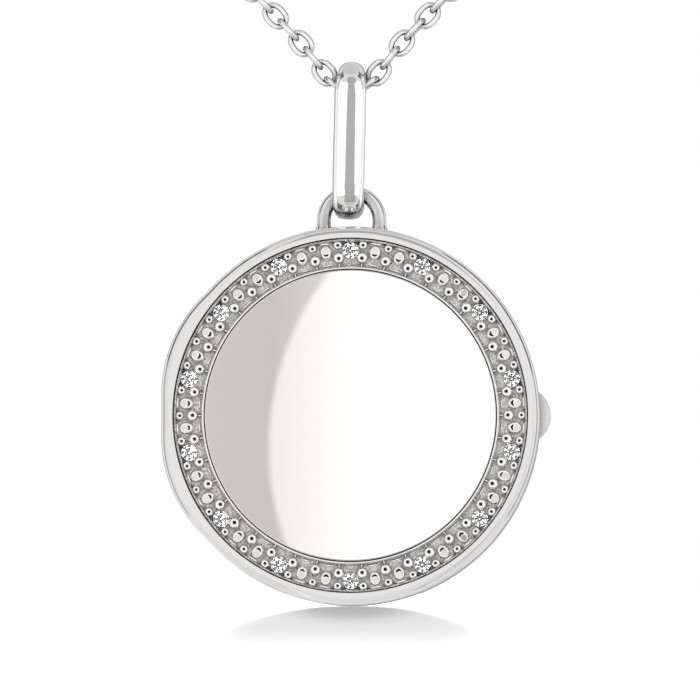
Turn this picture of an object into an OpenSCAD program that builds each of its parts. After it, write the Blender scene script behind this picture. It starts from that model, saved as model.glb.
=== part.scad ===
// Round hinged locket with a band of small stones, hanging by a long bail
// from a fine cable chain that is worn round the neck.
// Units are millimetres. X is the wearer's left, -Y is the front, Z is up,
// and the origin is the middle of the neck that the chain lies round.

/* [Case] */
// Diameter of the case across its rim
case_d = 21.5; // [20.5:0.1:23]
// Depth of the lid, from the joint line to the front of its rim
lid_depth = 2.0; // [1.9:0.05:2.4]
// Depth of the back shell, from the joint line to its rear face
back_depth = 2.9; // [2.4:0.05:3.4]
// Rise of the mirror plate from its edge to its middle
plate_rise = 0.55; // [0.3:0.05:0.8]
// Rise of the rear face from its edge to its middle
back_rise = 0.4; // [0.2:0.05:0.6]
// Width of the polished rim
rim_w = 0.54; // [0.45:0.01:0.6]

/* [Stone band] */
// Width of the band between the plate and the rim
band_w = 1.83; // [1.75:0.01:1.9]
// Diameter of each round stone
stone_d = 0.94; // [0.86:0.01:0.96]
// Diameter of the beads next to the plate
inner_bead_d = 0.55; // [0.4:0.01:0.56]
// Diameter of the beads next to the rim
outer_bead_d = 0.44; // [0.36:0.01:0.46]
// Diameter of the low domes between the stones
dome_d = 0.72; // [0.6:0.01:0.76]

/* [Hinge] */
// Outer diameter of the hinge knuckles
knuckle_d = 0.9; // [0.8:0.02:0.94]
// Diameter of the hinge pin
pin_d = 0.4; // [0.3:0.02:0.5]
// Length of the whole hinge
hinge_len = 6.4; // [5.6:0.2:6.6]

/* [Hanging ring and bail] */
// Thickness of the ring's round wire
ring_wire_d = 0.75; // [0.65:0.01:0.8]
// Diameter of the hole through the ring
ring_hole_d = 2.4; // [2.3:0.05:2.6]
// Height of the bail
bail_h = 8.9; // [8:0.1:12]
// Width of the bail seen from the front
bail_w = 1.82; // [1.6:0.02:1.84]
// Thickness of the bail's strip
bail_t = 0.9; // [0.8:0.02:1.0]
// Clear gap inside the bail, front to back
bail_gap = 2.1; // [1.9:0.05:2.6]

/* [Chain] */
// Thickness of the strand where it passes through the bail
strand_d_in_bail = 0.8; // [0.7:0.02:0.82]
// Thickness of the strand everywhere else
strand_d = 1.1; // [0.9:0.05:1.2]
// Wire of the clasp's ring
clasp_wire_d = 1.0; // [0.8:0.05:1.1]

/* [Hidden] */
STONES = 14;
function two_digits(n) = n < 10 ? str("0", n) : str(n);
function stone_name(n) = str("stone_", two_digits(n));

$fn = 96;
// Facets of the two shallow domes' very large circles
dome_fn = 1440;
// Gap kept between pieces that are set into each other
gap = 0.03;
// How far a cutter runs past the surface that it cuts
over = 1;

// The case, in its own frame: x right, y up, z to the front, middle at 0
case_r = case_d / 2;
joint_z = 0.45;
front_z = joint_z + lid_depth;
back_z = joint_z - back_depth;
rim_in_r = case_r - rim_w;
plate_r = rim_in_r - band_w;
rim_round = 0.5;
back_round = 0.6;
back_r = case_r - 0.03;
plate_edge_z = front_z - 0.1;
// Swell of the outline that hides the hinge: a straight edge and two arcs
swell_r = 7.8;
swell_half = 1.2;
swell_x = swell_r - case_r;
// Hollows of both shells
lid_hollow_r = case_r - 0.85;
lid_hollow_z = joint_z + 0.55;
plate_hollow_r = plate_r - 0.5;
plate_hollow_z = joint_z + 1.42;
plate_hollow_mid_z = joint_z + 1.78;
back_hollow_r = lid_hollow_r + 0.1;
back_hollow_z = back_z + 0.72;
collar_in_r = lid_hollow_r - 0.42;
collar_root_z = joint_z - 0.8;
collar_r = lid_hollow_r - 0.08;
collar_z = lid_hollow_z - 0.07;
// Thumb tab
tab_chord = 2.6;
tab_reach = 0.6;
tab_t = 0.6;
tab_r = (pow(tab_chord / 2, 2) + pow(tab_reach, 2)) / (2 * tab_reach);

// The hinge, along y beside the case
axis_x = 0.7 - case_r;
axis_z = joint_z - 0.6;
flat_x = axis_x + 0.3;
lid_wall_x = axis_x + 0.85;
back_wall_x = axis_x + 0.95;
collar_x = axis_x + 1.05;
knuckle_gap = 0.05;
mid_half = 0.95;
pin_fit = 0.02;
knuckle_relief = 0.06;
lid_web_w = 0.5;
lid_web_root = 0.15;
back_web_h = 0.8;
back_web_root = 0.2;

// The stone band
groove_z = joint_z + 1.05;
band_base_z = groove_z + 0.02;
floor_z = groove_z + 0.45;
band_in_r = plate_r + 0.04;
band_out_r = rim_in_r - 0.03;
lip_w = 0.12;
lip_slope = 0.08;
inner_lip_z = floor_z + 0.33;
outer_lip_z = floor_z + 0.4;
pitch_a = 360 / (3 * STONES);
stone_ring_r = (plate_r + rim_in_r) / 2 + 0.095;
inner_bead_r = stone_ring_r - 0.39;
outer_bead_r = stone_ring_r + 0.35;
bead_lift = 0.08;
dome_sink = 0.05;
bead_fn = 32;
seat_gap = 0.03;
drill_r = 0.12;

// Proportions of the brilliant cut, as shares of the stone's radius
table_share = 0.56;
star_share = 0.8;
lower_share = 0.3;
crown_h = 0.155 * stone_d;
girdle_h = 0.03 * stone_d;
pavilion_h = 0.42 * stone_d;
girdle_z = floor_z + 0.03;

// The hanging parts, in the whole object's frame
chain_y = -62;
chain_low_z = -90;
inner_dish = 0.2;
face_half = 0.67 * bail_w / 2;
face_dome = 0.12;
bend_r = bail_gap / 2;
bail_top_z = chain_low_z + strand_d_in_bail / 2 + gap + bail_t;
bail_low_z = bail_top_z - bail_h;
ring_mid_r = (ring_hole_d + ring_wire_d) / 2;
ring_foot_r = 0.58;
ring_foot_h = 0.55;
ring_foot_root = 0.25;
ring_leg_root = 0.5;
// The ring's arch rests on the two edges of the bail's dished inside
ring_drop = ring_hole_d / 2 - sqrt(pow(ring_hole_d / 2, 2) - pow(bail_w / 2, 2));
ring_low_z = bail_low_z + bail_t + ring_drop - inner_dish + 0.04;
ring_z = ring_low_z - ring_hole_d / 2;
ring_lift = 0.48;
case_z = ring_z - case_r - ring_lift;

// Half of the chain's route, from the bail to the clasp at the nape:
// x, y, z and 1 where the strand is pressed thin inside the bail
route = [
    [0, -62, -90, 1],
    [0.6, -62, -90, 1],
    [1, -62, -89.9, 1],
    [1.4, -62, -89.5, 1],
    [2, -62, -88.8, 0],
    [4, -62, -86.5, 0],
    [8, -62, -82, 0],
    [15, -61.5, -74, 0],
    [22, -60, -66.5, 0],
    [29, -58, -59, 0],
    [36, -54.5, -51.5, 0],
    [42.5, -50, -44, 0],
    [48.5, -44.5, -37, 0],
    [54, -37.5, -30.5, 0],
    [58.5, -29, -24.5, 0],
    [62, -19.5, -19, 0],
    [64, -9, -14, 0],
    [64.5, 2, -9.5, 0],
    [63, 12.5, -6, 0],
    [59.5, 22.5, -3, 0],
    [54.5, 32, -0.5, 0],
    [47.5, 40, 1, 0],
    [39.5, 46.5, 2, 0],
    [30.5, 51.5, 3, 0],
    [21, 54.8, 3.5, 0],
    [12, 56.6, 4, 0],
    [4, 57, 4, 0]];
route_end = len(route) - 1;
tube_sides = 8;

function unit(v) = v / norm(v);
function at_angle(r, a, z) = [r * cos(a), r * sin(a), z];

// Both halves of the route, from one side of the clasp to the other
strand = [for (i = [-route_end:route_end])
    let (p = route[abs(i)])
    [sign(i) * p[0], p[1], p[2], p[3] == 1 ? strand_d_in_bail : strand_d]];
function place(i) = [strand[i][0], strand[i][1], strand[i][2]];
function heading(i) = unit(place(min(i + 1, len(strand) - 1)) - place(max(i - 1, 0)));

// One ring of the tube round point i of the strand
function tube_ring(i) =
    let (
        ahead = heading(i),
        side = unit(cross(ahead, [0, 0, 1])),
        up = cross(side, ahead))
    [for (j = [0:tube_sides - 1])
        let (a = 360 * j / tube_sides)
        place(i) + strand[i][3] / 2 * (cos(a) * side + sin(a) * up)];

module chain() {
    rings = len(strand);
    corners = [for (i = [0:rings - 1]) each tube_ring(i)];
    walls = [for (i = [0:rings - 2], j = [0:tube_sides - 1])
        let (
            near = i * tube_sides,
            far = near + tube_sides,
            k = (j + 1) % tube_sides)
        [near + j, near + k, far + k, far + j]];
    first_cap = [for (j = [tube_sides - 1:-1:0]) j];
    last_cap = [for (j = [0:tube_sides - 1]) (rings - 1) * tube_sides + j];
    color("silver") polyhedron(points = corners, faces = concat([first_cap], walls, [last_cap]));
}

// A plain ring of round wire, lying in the x-y plane
module wire_ring(mid_r, wire_r) {
    rotate_extrude() translate([mid_r, 0]) circle(r = wire_r);
}

module clasp() {
    end = route[route_end];
    reach = end[0] - gap;
    clasp_r = 1.9;
    eye_r = 0.55;
    eye_wire_r = 0.3;
    tag_r = 0.85;
    tag_wire_r = 0.35;
    color("silver") translate([0, end[1], end[2]]) rotate([90, 0, 0]) {
        translate([eye_r + eye_wire_r - reach, 0, 0]) wire_ring(eye_r, eye_wire_r);
        translate([2 * eye_r + clasp_r + clasp_wire_d / 2 - reach, 0, 0])
            wire_ring(clasp_r, clasp_wire_d / 2);
        translate([reach - tag_r - tag_wire_r, 0, 0]) wire_ring(tag_r, tag_wire_r);
    }
}

// Section of the bail's strip: x across it, y from its inside to its face
module bail_section() {
    half = bail_w / 2;
    edge_t = 0.36 * bail_t;
    slope_t = 0.66 * bail_t;
    slope_x = (half + face_half) / 2 + 0.04;
    shoulder_t = bail_t - face_dome;
    dish_r = (half * half + inner_dish * inner_dish) / (2 * inner_dish);
    face_r = (face_half * face_half + face_dome * face_dome) / (2 * face_dome);
    intersection() {
        polygon([
            [-half, 0],
            [half, 0],
            [half, edge_t],
            [slope_x, slope_t],
            [face_half, shoulder_t],
            [face_half, bail_t],
            [-face_half, bail_t],
            [-face_half, shoulder_t],
            [-slope_x, slope_t],
            [-half, edge_t]]);
        translate([0, dish_r]) circle(r = dish_r, $fn = 240);
        translate([0, bail_t - face_r]) circle(r = face_r, $fn = 240);
    }
}

// A half turn of the strip, over the top of the bail
module bail_bend() {
    rotate([90, 0, 90]) rotate_extrude(angle = 180)
        translate([bend_r, 0]) rotate(-90) bail_section();
}

module bail() {
    top_bend_z = bail_top_z - bail_t - bend_r;
    low_bend_z = bail_low_z + bail_t + bend_r;
    color("silver") translate([0, chain_y, 0]) {
        translate([0, 0, top_bend_z]) bail_bend();
        translate([0, 0, low_bend_z]) mirror([0, 0, 1]) bail_bend();
        for (turn = [0, 180]) rotate(turn)
            translate([0, bend_r, low_bend_z])
                linear_extrude(height = top_bend_z - low_bend_z) bail_section();
    }
}

// Turns the case's own frame into the whole object's frame
module hang_case() {
    translate([0, chain_y, case_z]) rotate([90, 0, 0]) children();
}

// Half section of the lid's outer form: x out from the middle, y to the front
module lid_profile(r) {
    low = joint_z + gap / 2;
    translate([0, low]) square([r, front_z - rim_round - low]);
    translate([0, low]) square([r - rim_round, front_z - low]);
    translate([r - rim_round, front_z - rim_round]) circle(r = rim_round);
}

// The lid's outer form: a round, with a swell on the left round the hinge
module lid_form() {
    rotate_extrude($fn = 240) intersection() {
        lid_profile(case_r);
        square([case_r + over, front_z + over]);
    }
    for (side = [-1, 1]) translate([swell_x, side * swell_half, 0])
        rotate_extrude() intersection() {
            lid_profile(swell_r);
            square([swell_r + over, front_z + over]);
        }
    translate([0, swell_half, 0]) rotate([90, 0, 0])
        linear_extrude(height = 2 * swell_half) mirror([1, 0]) intersection() {
            lid_profile(case_r);
            square([case_r + over, front_z + over]);
        }
}

// The mirror plate's crowned front
module lid_plate() {
    crown_r = (plate_r * plate_r + plate_rise * plate_rise) / (2 * plate_rise);
    rotate_extrude($fn = 240) intersection() {
        translate([0, groove_z - 0.1]) square([plate_r, over + plate_rise]);
        translate([0, plate_edge_z + plate_rise - crown_r]) circle(r = crown_r, $fn = dome_fn);
    }
}

module knuckle(from_y, to_y) {
    translate([axis_x, to_y, axis_z]) rotate([90, 0, 0]) cylinder(d = knuckle_d, h = to_y - from_y);
}

module hinge_bore() {
    translate([axis_x, hinge_len / 2 + over, axis_z]) rotate([90, 0, 0])
        cylinder(d = pin_d + 2 * pin_fit, h = hinge_len + 2 * over, $fn = 48);
}

module lid() {
    color("silver") hang_case() difference() {
        union() {
            difference() {
                lid_form();
                translate([0, 0, groove_z]) cylinder(r = rim_in_r, h = lid_depth, $fn = 240);
            }
            lid_plate();
            translate([case_r + tab_reach - tab_r, 0, joint_z + gap / 2]) cylinder(r = tab_r, h = tab_t);
            knuckle(-mid_half, mid_half);
            translate([axis_x - lid_web_w / 2, -mid_half, axis_z])
                cube([lid_web_w, 2 * mid_half, joint_z - axis_z + lid_web_root]);
        }
        intersection() {
            rotate_extrude($fn = 240) polygon([
                [0, 0],
                [lid_hollow_r, 0],
                [lid_hollow_r, lid_hollow_z],
                [plate_hollow_r, lid_hollow_z],
                [plate_hollow_r, plate_hollow_z],
                [0, plate_hollow_mid_z]]);
            translate([lid_wall_x, -case_r, 0]) cube([case_d + over, case_d, front_z]);
        }
        hinge_bore();
    }
}

// Half section of the back shell's outer form
module back_profile() {
    flat_r = back_r - back_round;
    dome_r = (flat_r * flat_r + back_rise * back_rise) / (2 * back_rise);
    translate([0, back_z + back_round]) square([back_r, joint_z - back_z - back_round]);
    translate([0, back_z]) square([flat_r, joint_z - back_z]);
    translate([flat_r, back_z + back_round]) circle(r = back_round);
    intersection() {
        translate([0, back_z - back_rise]) square([flat_r, back_rise + back_round]);
        translate([0, back_z - back_rise + dome_r]) circle(r = dome_r, $fn = dome_fn);
    }
}

module back_knuckles() {
    inner = mid_half + knuckle_gap;
    outer = hinge_len / 2;
    for (side = [0, 1]) mirror([0, side, 0]) {
        knuckle(inner, outer);
        translate([axis_x, inner, axis_z - back_web_h / 2])
            cube([flat_x - axis_x + back_web_root, outer - inner, back_web_h]);
    }
}

// The hanging ring: an arch on two legs that flare where they meet the case
module hanging_ring() {
    ring_y = case_r + ring_lift;
    foot_y = case_r - ring_foot_root;
    translate([0, ring_y, 0]) rotate_extrude(angle = 180)
        translate([ring_mid_r, 0]) circle(d = ring_wire_d);
    for (side = [-1, 1]) translate([side * ring_mid_r, ring_y, 0]) rotate([90, 0, 0])
        cylinder(d = ring_wire_d, h = ring_lift + ring_leg_root);
    intersection() {
        for (side = [-1, 1]) translate([side * ring_mid_r, foot_y, 0]) rotate([-90, 0, 0])
            cylinder(r1 = ring_foot_r, r2 = ring_wire_d / 2, h = ring_foot_h);
        translate([-case_r, 0, -case_r]) cube([case_d, case_d, case_r + joint_z - gap]);
    }
}

module case_back() {
    color("silver") hang_case() difference() {
        union() {
            difference() {
                rotate_extrude($fn = 240) back_profile();
                translate([-case_d, -case_r, back_z - over])
                    cube([case_d + flat_x, case_d, back_depth + 2 * over]);
            }
            intersection() {
                cylinder(r = collar_r, h = collar_z, $fn = 240);
                translate([collar_x, -case_r, 0]) cube([case_d, case_d, collar_z + over]);
            }
            back_knuckles();
            hanging_ring();
        }
        intersection() {
            rotate_extrude($fn = 240) polygon([
                [0, back_hollow_z],
                [back_hollow_r, back_hollow_z],
                [back_hollow_r, collar_root_z],
                [collar_in_r, collar_root_z],
                [collar_in_r, collar_z + over],
                [0, collar_z + over]]);
            translate([back_wall_x, -case_r, back_hollow_z - over])
                cube([case_d, case_d, collar_z - back_hollow_z + 3 * over]);
        }
        translate([axis_x, mid_half + knuckle_gap, axis_z]) rotate([90, 0, 0])
            cylinder(r = knuckle_d / 2 + knuckle_relief, h = 2 * (mid_half + knuckle_gap));
        hinge_bore();
    }
}

module hinge_pin() {
    color("gainsboro") hang_case() translate([axis_x, hinge_len / 2 - gap, axis_z])
        rotate([90, 0, 0]) cylinder(d = pin_d, h = hinge_len - 2 * gap, $fn = 48);
}

// Angle of place n on the band, counted clockwise from the top
function band_angle(n) = 90 - pitch_a * n;

module stone_seat(n) {
    seat_r = stone_d / 2 + seat_gap;
    translate(at_angle(stone_ring_r, band_angle(3 * n), 0)) {
        translate([0, 0, girdle_z - pavilion_h]) cylinder(r1 = 0, r2 = seat_r, h = pavilion_h);
        translate([0, 0, girdle_z]) cylinder(r = seat_r, h = over);
        translate([0, 0, groove_z - over]) cylinder(r = drill_r, h = floor_z - groove_z + over);
    }
}

module pave_ring() {
    color("lightgray") hang_case() difference() {
        union() {
            rotate_extrude($fn = 240) polygon([
                [band_in_r, band_base_z],
                [band_out_r, band_base_z],
                [band_out_r, outer_lip_z],
                [band_out_r - lip_w, outer_lip_z],
                [band_out_r - lip_w - lip_slope, floor_z],
                [band_in_r + lip_w + lip_slope, floor_z],
                [band_in_r + lip_w, inner_lip_z],
                [band_in_r, inner_lip_z]]);
            for (n = [0:3 * STONES - 1]) {
                translate(at_angle(inner_bead_r, band_angle(n + 0.5), floor_z + bead_lift))
                    sphere(d = inner_bead_d, $fn = bead_fn);
                translate(at_angle(outer_bead_r, band_angle(n + 0.5), floor_z + bead_lift))
                    sphere(d = outer_bead_d, $fn = bead_fn);
                if (n % 3 > 0)
                    translate(at_angle(stone_ring_r, band_angle(n), floor_z - dome_sink))
                        sphere(d = dome_d, $fn = bead_fn);
            }
        }
        for (n = [0:STONES - 1]) stone_seat(n);
    }
}

// A round brilliant with its girdle's lower edge at z = 0
module brilliant() {
    r = stone_d / 2;
    kite = cos(22.5);
    top_z = girdle_h + crown_h;
    star_r = star_share * r;
    star_z = girdle_h + crown_h * (r - star_r * kite) / (r - table_share * r);
    lower_r = lower_share * r;
    lower_z = -pavilion_h * (r - lower_r * kite) / r;
    corners = concat(
        [for (k = [0:7]) at_angle(table_share * r, 45 * k, top_z)],
        [for (k = [0:7]) at_angle(star_r, 45 * k + 22.5, star_z)],
        [for (k = [0:15]) at_angle(r, 22.5 * k, girdle_h)],
        [for (k = [0:15]) at_angle(r, 22.5 * k, 0)],
        [for (k = [0:7]) at_angle(lower_r, 45 * k + 22.5, lower_z)],
        [[0, 0, -pavilion_h]]);
    star = 8;
    girdle = 16;
    under = 32;
    lower = 48;
    culet = 56;
    table = [[for (k = [7:-1:0]) k]];
    stars = [for (k = [0:7]) [k, (k + 1) % 8, star + k]];
    bezels = [for (k = [0:7]) [k, star + k, girdle + 2 * k, star + (k + 7) % 8]];
    upper = [for (k = [0:7], s = [0, 1])
        [star + k, girdle + (2 * k + s + 1) % 16, girdle + 2 * k + s]];
    band = [for (k = [0:15])
        [girdle + k, girdle + (k + 1) % 16, under + (k + 1) % 16, under + k]];
    halves = [for (k = [0:7], s = [0, 1])
        [lower + k, under + 2 * k + s, under + (2 * k + s + 1) % 16]];
    mains = [for (k = [0:7]) [culet, lower + (k + 7) % 8, under + 2 * k, lower + k]];
    polyhedron(points = corners,
        faces = concat(table, stars, bezels, upper, band, halves, mains));
}

module stone(n) {
    color("azure") hang_case()
        translate(at_angle(stone_ring_r, band_angle(3 * (n - 1)), girdle_z)) brilliant();
}

chain();
clasp();
bail();
case_back();
lid();
pave_ring();
hinge_pin();
for (n = [1:STONES]) stone(n);
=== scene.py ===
"""Looks of a round locket on a cable chain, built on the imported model's frame.

Pieces are drawn in millimetres. The case's own frame has x to the right, y up and z to the
front, with 0 at the middle of the case, and from_case() turns it into the object's frame.
"""

import logging
import math
from collections.abc import Callable, Sequence
from dataclasses import dataclass, field
from enum import Enum

import bpy
import numpy as np
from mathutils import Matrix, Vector


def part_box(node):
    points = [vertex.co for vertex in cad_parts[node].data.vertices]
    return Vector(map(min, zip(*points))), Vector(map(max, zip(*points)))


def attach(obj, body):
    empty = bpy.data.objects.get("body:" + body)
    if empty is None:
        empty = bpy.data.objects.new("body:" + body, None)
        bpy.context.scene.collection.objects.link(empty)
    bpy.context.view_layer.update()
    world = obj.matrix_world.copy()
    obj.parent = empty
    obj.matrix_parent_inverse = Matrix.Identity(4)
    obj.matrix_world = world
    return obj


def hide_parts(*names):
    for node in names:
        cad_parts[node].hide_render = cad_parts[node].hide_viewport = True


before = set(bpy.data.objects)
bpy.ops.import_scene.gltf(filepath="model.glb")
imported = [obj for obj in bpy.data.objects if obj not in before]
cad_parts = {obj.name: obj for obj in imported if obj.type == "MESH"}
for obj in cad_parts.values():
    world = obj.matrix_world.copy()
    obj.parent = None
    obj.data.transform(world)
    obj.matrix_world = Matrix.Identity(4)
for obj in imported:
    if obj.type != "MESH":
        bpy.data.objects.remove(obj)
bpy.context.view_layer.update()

LOG = logging.getLogger("locket")
MM = 0.001
LID_LOW, LID_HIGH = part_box("lid")
BAIL_LOW, BAIL_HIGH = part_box("bail")
HANG_Y = (BAIL_LOW.y + BAIL_HIGH.y) / 2
CASE_Z = (LID_LOW.z + LID_HIGH.z) / 2
CASE_R = (LID_HIGH.z - LID_LOW.z) / 2 / MM
# How far the hinge's axis lies inside the rim, in millimetres
HINGE_IN = 0.7
# Rays that feel for narrow places at each shaded point
AO_SAMPLES = 4

# What goes into a node's sockets, by their names or numbers
Inputs = dict[str | int, object]


class Slot(Enum):
    """The record's material slots."""

    POLISHED = "polished_silver"
    BRIGHT_CUT = "bright_cut_silver"
    CHAIN = "chain_silver"
    STONE = "diamond"


class Body(Enum):
    """The bodies that pieces ride on."""

    NECKLACE = "necklace"
    BAIL = "bail"
    CASE = "case"
    LID = "lid"


def linear(hex_colour: str) -> tuple[float, float, float, float]:
    """Turns an sRGB hex colour into linear RGBA.

    Args:
        hex_colour: Six hex digits after a hash sign.
    Returns:
        Red, green, blue and an alpha of 1.
    """
    parts = [int(hex_colour[i:i + 2], 16) / 255 for i in (1, 3, 5)]
    red, green, blue = (c / 12.92 if c <= 0.04045 else ((c + 0.055) / 1.055) ** 2.4 for c in parts)
    return red, green, blue, 1.0


def feed(tree: bpy.types.NodeTree, node: bpy.types.Node, inputs: Inputs) -> None:
    """Links or sets sockets of a node.

    Args:
        tree: The tree that the node is in.
        node: The node.
        inputs: For a socket's name or number, an output socket to link or a plain value.
    """
    for socket, value in inputs.items():
        if isinstance(value, bpy.types.NodeSocket):
            tree.links.new(value, node.inputs[socket])
        else:
            node.inputs[socket].default_value = value


def add_node(
    tree: bpy.types.NodeTree,
    kind: str,
    inputs: Inputs | None = None,
    **settings: object,
) -> bpy.types.Node:
    """Adds a shader node, with its settings and what goes into its sockets.

    Args:
        tree: The tree that gets the node.
        kind: The node's type name, without the ShaderNode prefix.
        inputs: What goes into its sockets, as feed() takes it.
        **settings: Properties of the node.
    Returns:
        The new node.
    """
    made = tree.nodes.new("ShaderNode" + kind)
    for name, value in settings.items():
        setattr(made, name, value)
    feed(tree, made, inputs or {})
    return made


def scale_for(size_mm: float) -> float:
    """Texture scale that draws a pattern at a real size, since the coordinates are metres."""
    return 1 / (size_mm * MM)


def from_case(points: np.ndarray) -> np.ndarray:
    """Turns points of the case's own frame, in millimetres, into the object's frame in metres."""
    return np.column_stack((
        points[:, 0] * MM,
        HANG_Y - points[:, 2] * MM,
        CASE_Z + points[:, 1] * MM,
    ))


def from_object(points: np.ndarray) -> np.ndarray:
    """Turns points of the object's frame from millimetres into metres."""
    return points * MM


class Sketch:
    """Gathers the points and faces of one piece, in millimetres."""

    def __init__(self) -> None:
        """Starts with nothing drawn."""
        self.points: list[np.ndarray] = []
        self.faces: list[np.ndarray] = []
        self.looks: list[np.ndarray] = []
        self.size = 0

    def add_points(self, points: np.ndarray) -> int:
        """Adds loose points and returns the index of the first one."""
        first = self.size
        flat = np.asarray(points, float).reshape(-1, 3)
        self.points.append(flat)
        self.size += len(flat)
        return first

    def add_faces(self, faces: np.ndarray, look: int | np.ndarray) -> None:
        """Adds faces of equal corner count, with the index of their finish."""
        self.faces.append(faces)
        self.looks.append(np.broadcast_to(np.asarray(look, int), (len(faces),)))

    def sheet(
        self,
        rows: np.ndarray,
        look: int | Sequence[int] = 0,
        wrap: bool = True,
        loop: bool = False,
    ) -> int:
        """Adds a sheet of four-sided faces through rows of points.

        Args:
            rows: Points as rows by columns by 3.
            look: The finish of all faces, or one for each band between two rows.
            wrap: Whether the last point of each row joins the first.
            loop: Whether the last row joins the first.
        Returns:
            The index of the sheet's first point.
        """
        count, width = rows.shape[:2]
        first = self.add_points(rows)
        low = np.arange(count if loop else count - 1)[:, None] * width
        high = (low + width) % (count * width)
        near = np.arange(width if wrap else width - 1)[None, :]
        far = (near + 1) % width
        quads = np.stack((low + near, low + far, high + far, high + near), axis=-1)
        bands = np.broadcast_to(np.asarray(look, int), (len(low),))
        self.add_faces(first + quads.reshape(-1, 4), np.repeat(bands, near.shape[1]))
        return first

    def fan(self, rim: int, count: int, tip: Sequence[float], look: int = 0, out: bool = True) -> None:
        """Closes a ring of points with a fan of triangles.

        Args:
            rim: Index of the ring's first point.
            count: How many points the ring has.
            tip: The point that the fan meets in.
            look: The finish of the faces.
            out: Whether the fan follows the ring's own sense, as after a sheet's last row.
        """
        middle = self.add_points(np.array([tip]))
        near = rim + np.arange(count)
        far = rim + (np.arange(count) + 1) % count
        tips = np.full(count, middle)
        order = (near, far, tips) if out else (far, near, tips)
        self.add_faces(np.stack(order, axis=-1), look)

    def shell(self, rows: np.ndarray, look: int | Sequence[int] = 0) -> None:
        """Adds a closed form of rings, whose first and last rows close at their middles."""
        width = rows.shape[1]
        first = self.sheet(rows, look)
        looks = np.broadcast_to(np.asarray(look, int), (len(rows) - 1,))
        self.fan(first, width, rows[0].mean(axis=0), int(looks[0]), out=False)
        self.fan(first + (len(rows) - 1) * width, width, rows[-1].mean(axis=0), int(looks[-1]))

    def make(
        self,
        name: str,
        place: Callable[[np.ndarray], np.ndarray],
        sharp_deg: float = 32.0,
    ) -> bpy.types.Object:
        """Makes the piece's mesh object.

        Args:
            name: The object's name.
            place: Turns the sketch's millimetres into the object's frame in metres.
            sharp_deg: Edges that turn by more than this stay crisp.
        Returns:
            The new object, in the scene.
        """
        mesh = bpy.data.meshes.new(name)
        points = place(np.concatenate(self.points))
        faces = [face for block in self.faces for face in block.tolist()]
        mesh.from_pydata(points.tolist(), [], faces)
        mesh.polygons.foreach_set("material_index", np.concatenate(self.looks).astype(np.int32))
        mesh.polygons.foreach_set("use_smooth", np.ones(len(faces), bool))
        mesh.set_sharp_from_angle(angle=math.radians(sharp_deg))
        mesh.update()
        LOG.info("%s: %d faces", name, len(faces))
        return link_object(name, mesh)


def turn_angles(count: int) -> np.ndarray:
    """Evenly spaced angles round a full turn, in radians."""
    return np.linspace(0.0, 2 * math.pi, count, endpoint=False)


def circle(radius: float | np.ndarray, z: float, angles: np.ndarray) -> np.ndarray:
    """A ring of points round the z axis.

    Args:
        radius: One radius, or one for each angle.
        z: Height of the ring.
        angles: The points' angles in radians.
    Returns:
        The points as count by 3.
    """
    radii = np.broadcast_to(np.asarray(radius, float), angles.shape)
    return np.column_stack((radii * np.cos(angles), radii * np.sin(angles), np.full(len(angles), z)))


def arc_steps(from_deg: float, to_deg: float, steps: int) -> np.ndarray:
    """Angles in radians from one angle to another, both included."""
    return np.radians(np.linspace(from_deg, to_deg, steps + 1))


def dome_radius(half_w: float, rise: float) -> float:
    """Radius of the arc over a chord of a half width that rises so far in its middle."""
    return (half_w ** 2 + rise ** 2) / (2 * rise)


def rounded_max(a: np.ndarray, b: np.ndarray, blend: float) -> np.ndarray:
    """The larger of two values, with a smooth passage where they are within blend of each other."""
    share = np.clip(0.5 + 0.5 * (a - b) / blend, 0.0, 1.0)
    return b + (a - b) * share + blend * share * (1 - share)


def rounded_min(a: np.ndarray, b: np.ndarray, blend: float) -> np.ndarray:
    """The smaller of two values, with a smooth passage where they are within blend of each other."""
    return -rounded_max(-a, -b, blend)


@dataclass(frozen=True)
class Finish:
    """What all finishes share: a name that says what the real one is, and a bare material."""

    name: str

    def start(self) -> tuple[bpy.types.Material, bpy.types.NodeTree, bpy.types.NodeSocket]:
        """Makes the bare material.

        Returns:
            The material, its node tree and the socket of the object's own coordinates.
        """
        material = bpy.data.materials.new(self.name)
        material.use_nodes = True
        tree = material.node_tree
        return material, tree, add_node(tree, "TexCoord").outputs["Object"]

    @staticmethod
    def coat(material: bpy.types.Material, inputs: Inputs) -> bpy.types.Material:
        """Feeds the material's surface shader and returns the material."""
        feed(material.node_tree, material.node_tree.nodes["Principled BSDF"], inputs)
        return material


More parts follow.
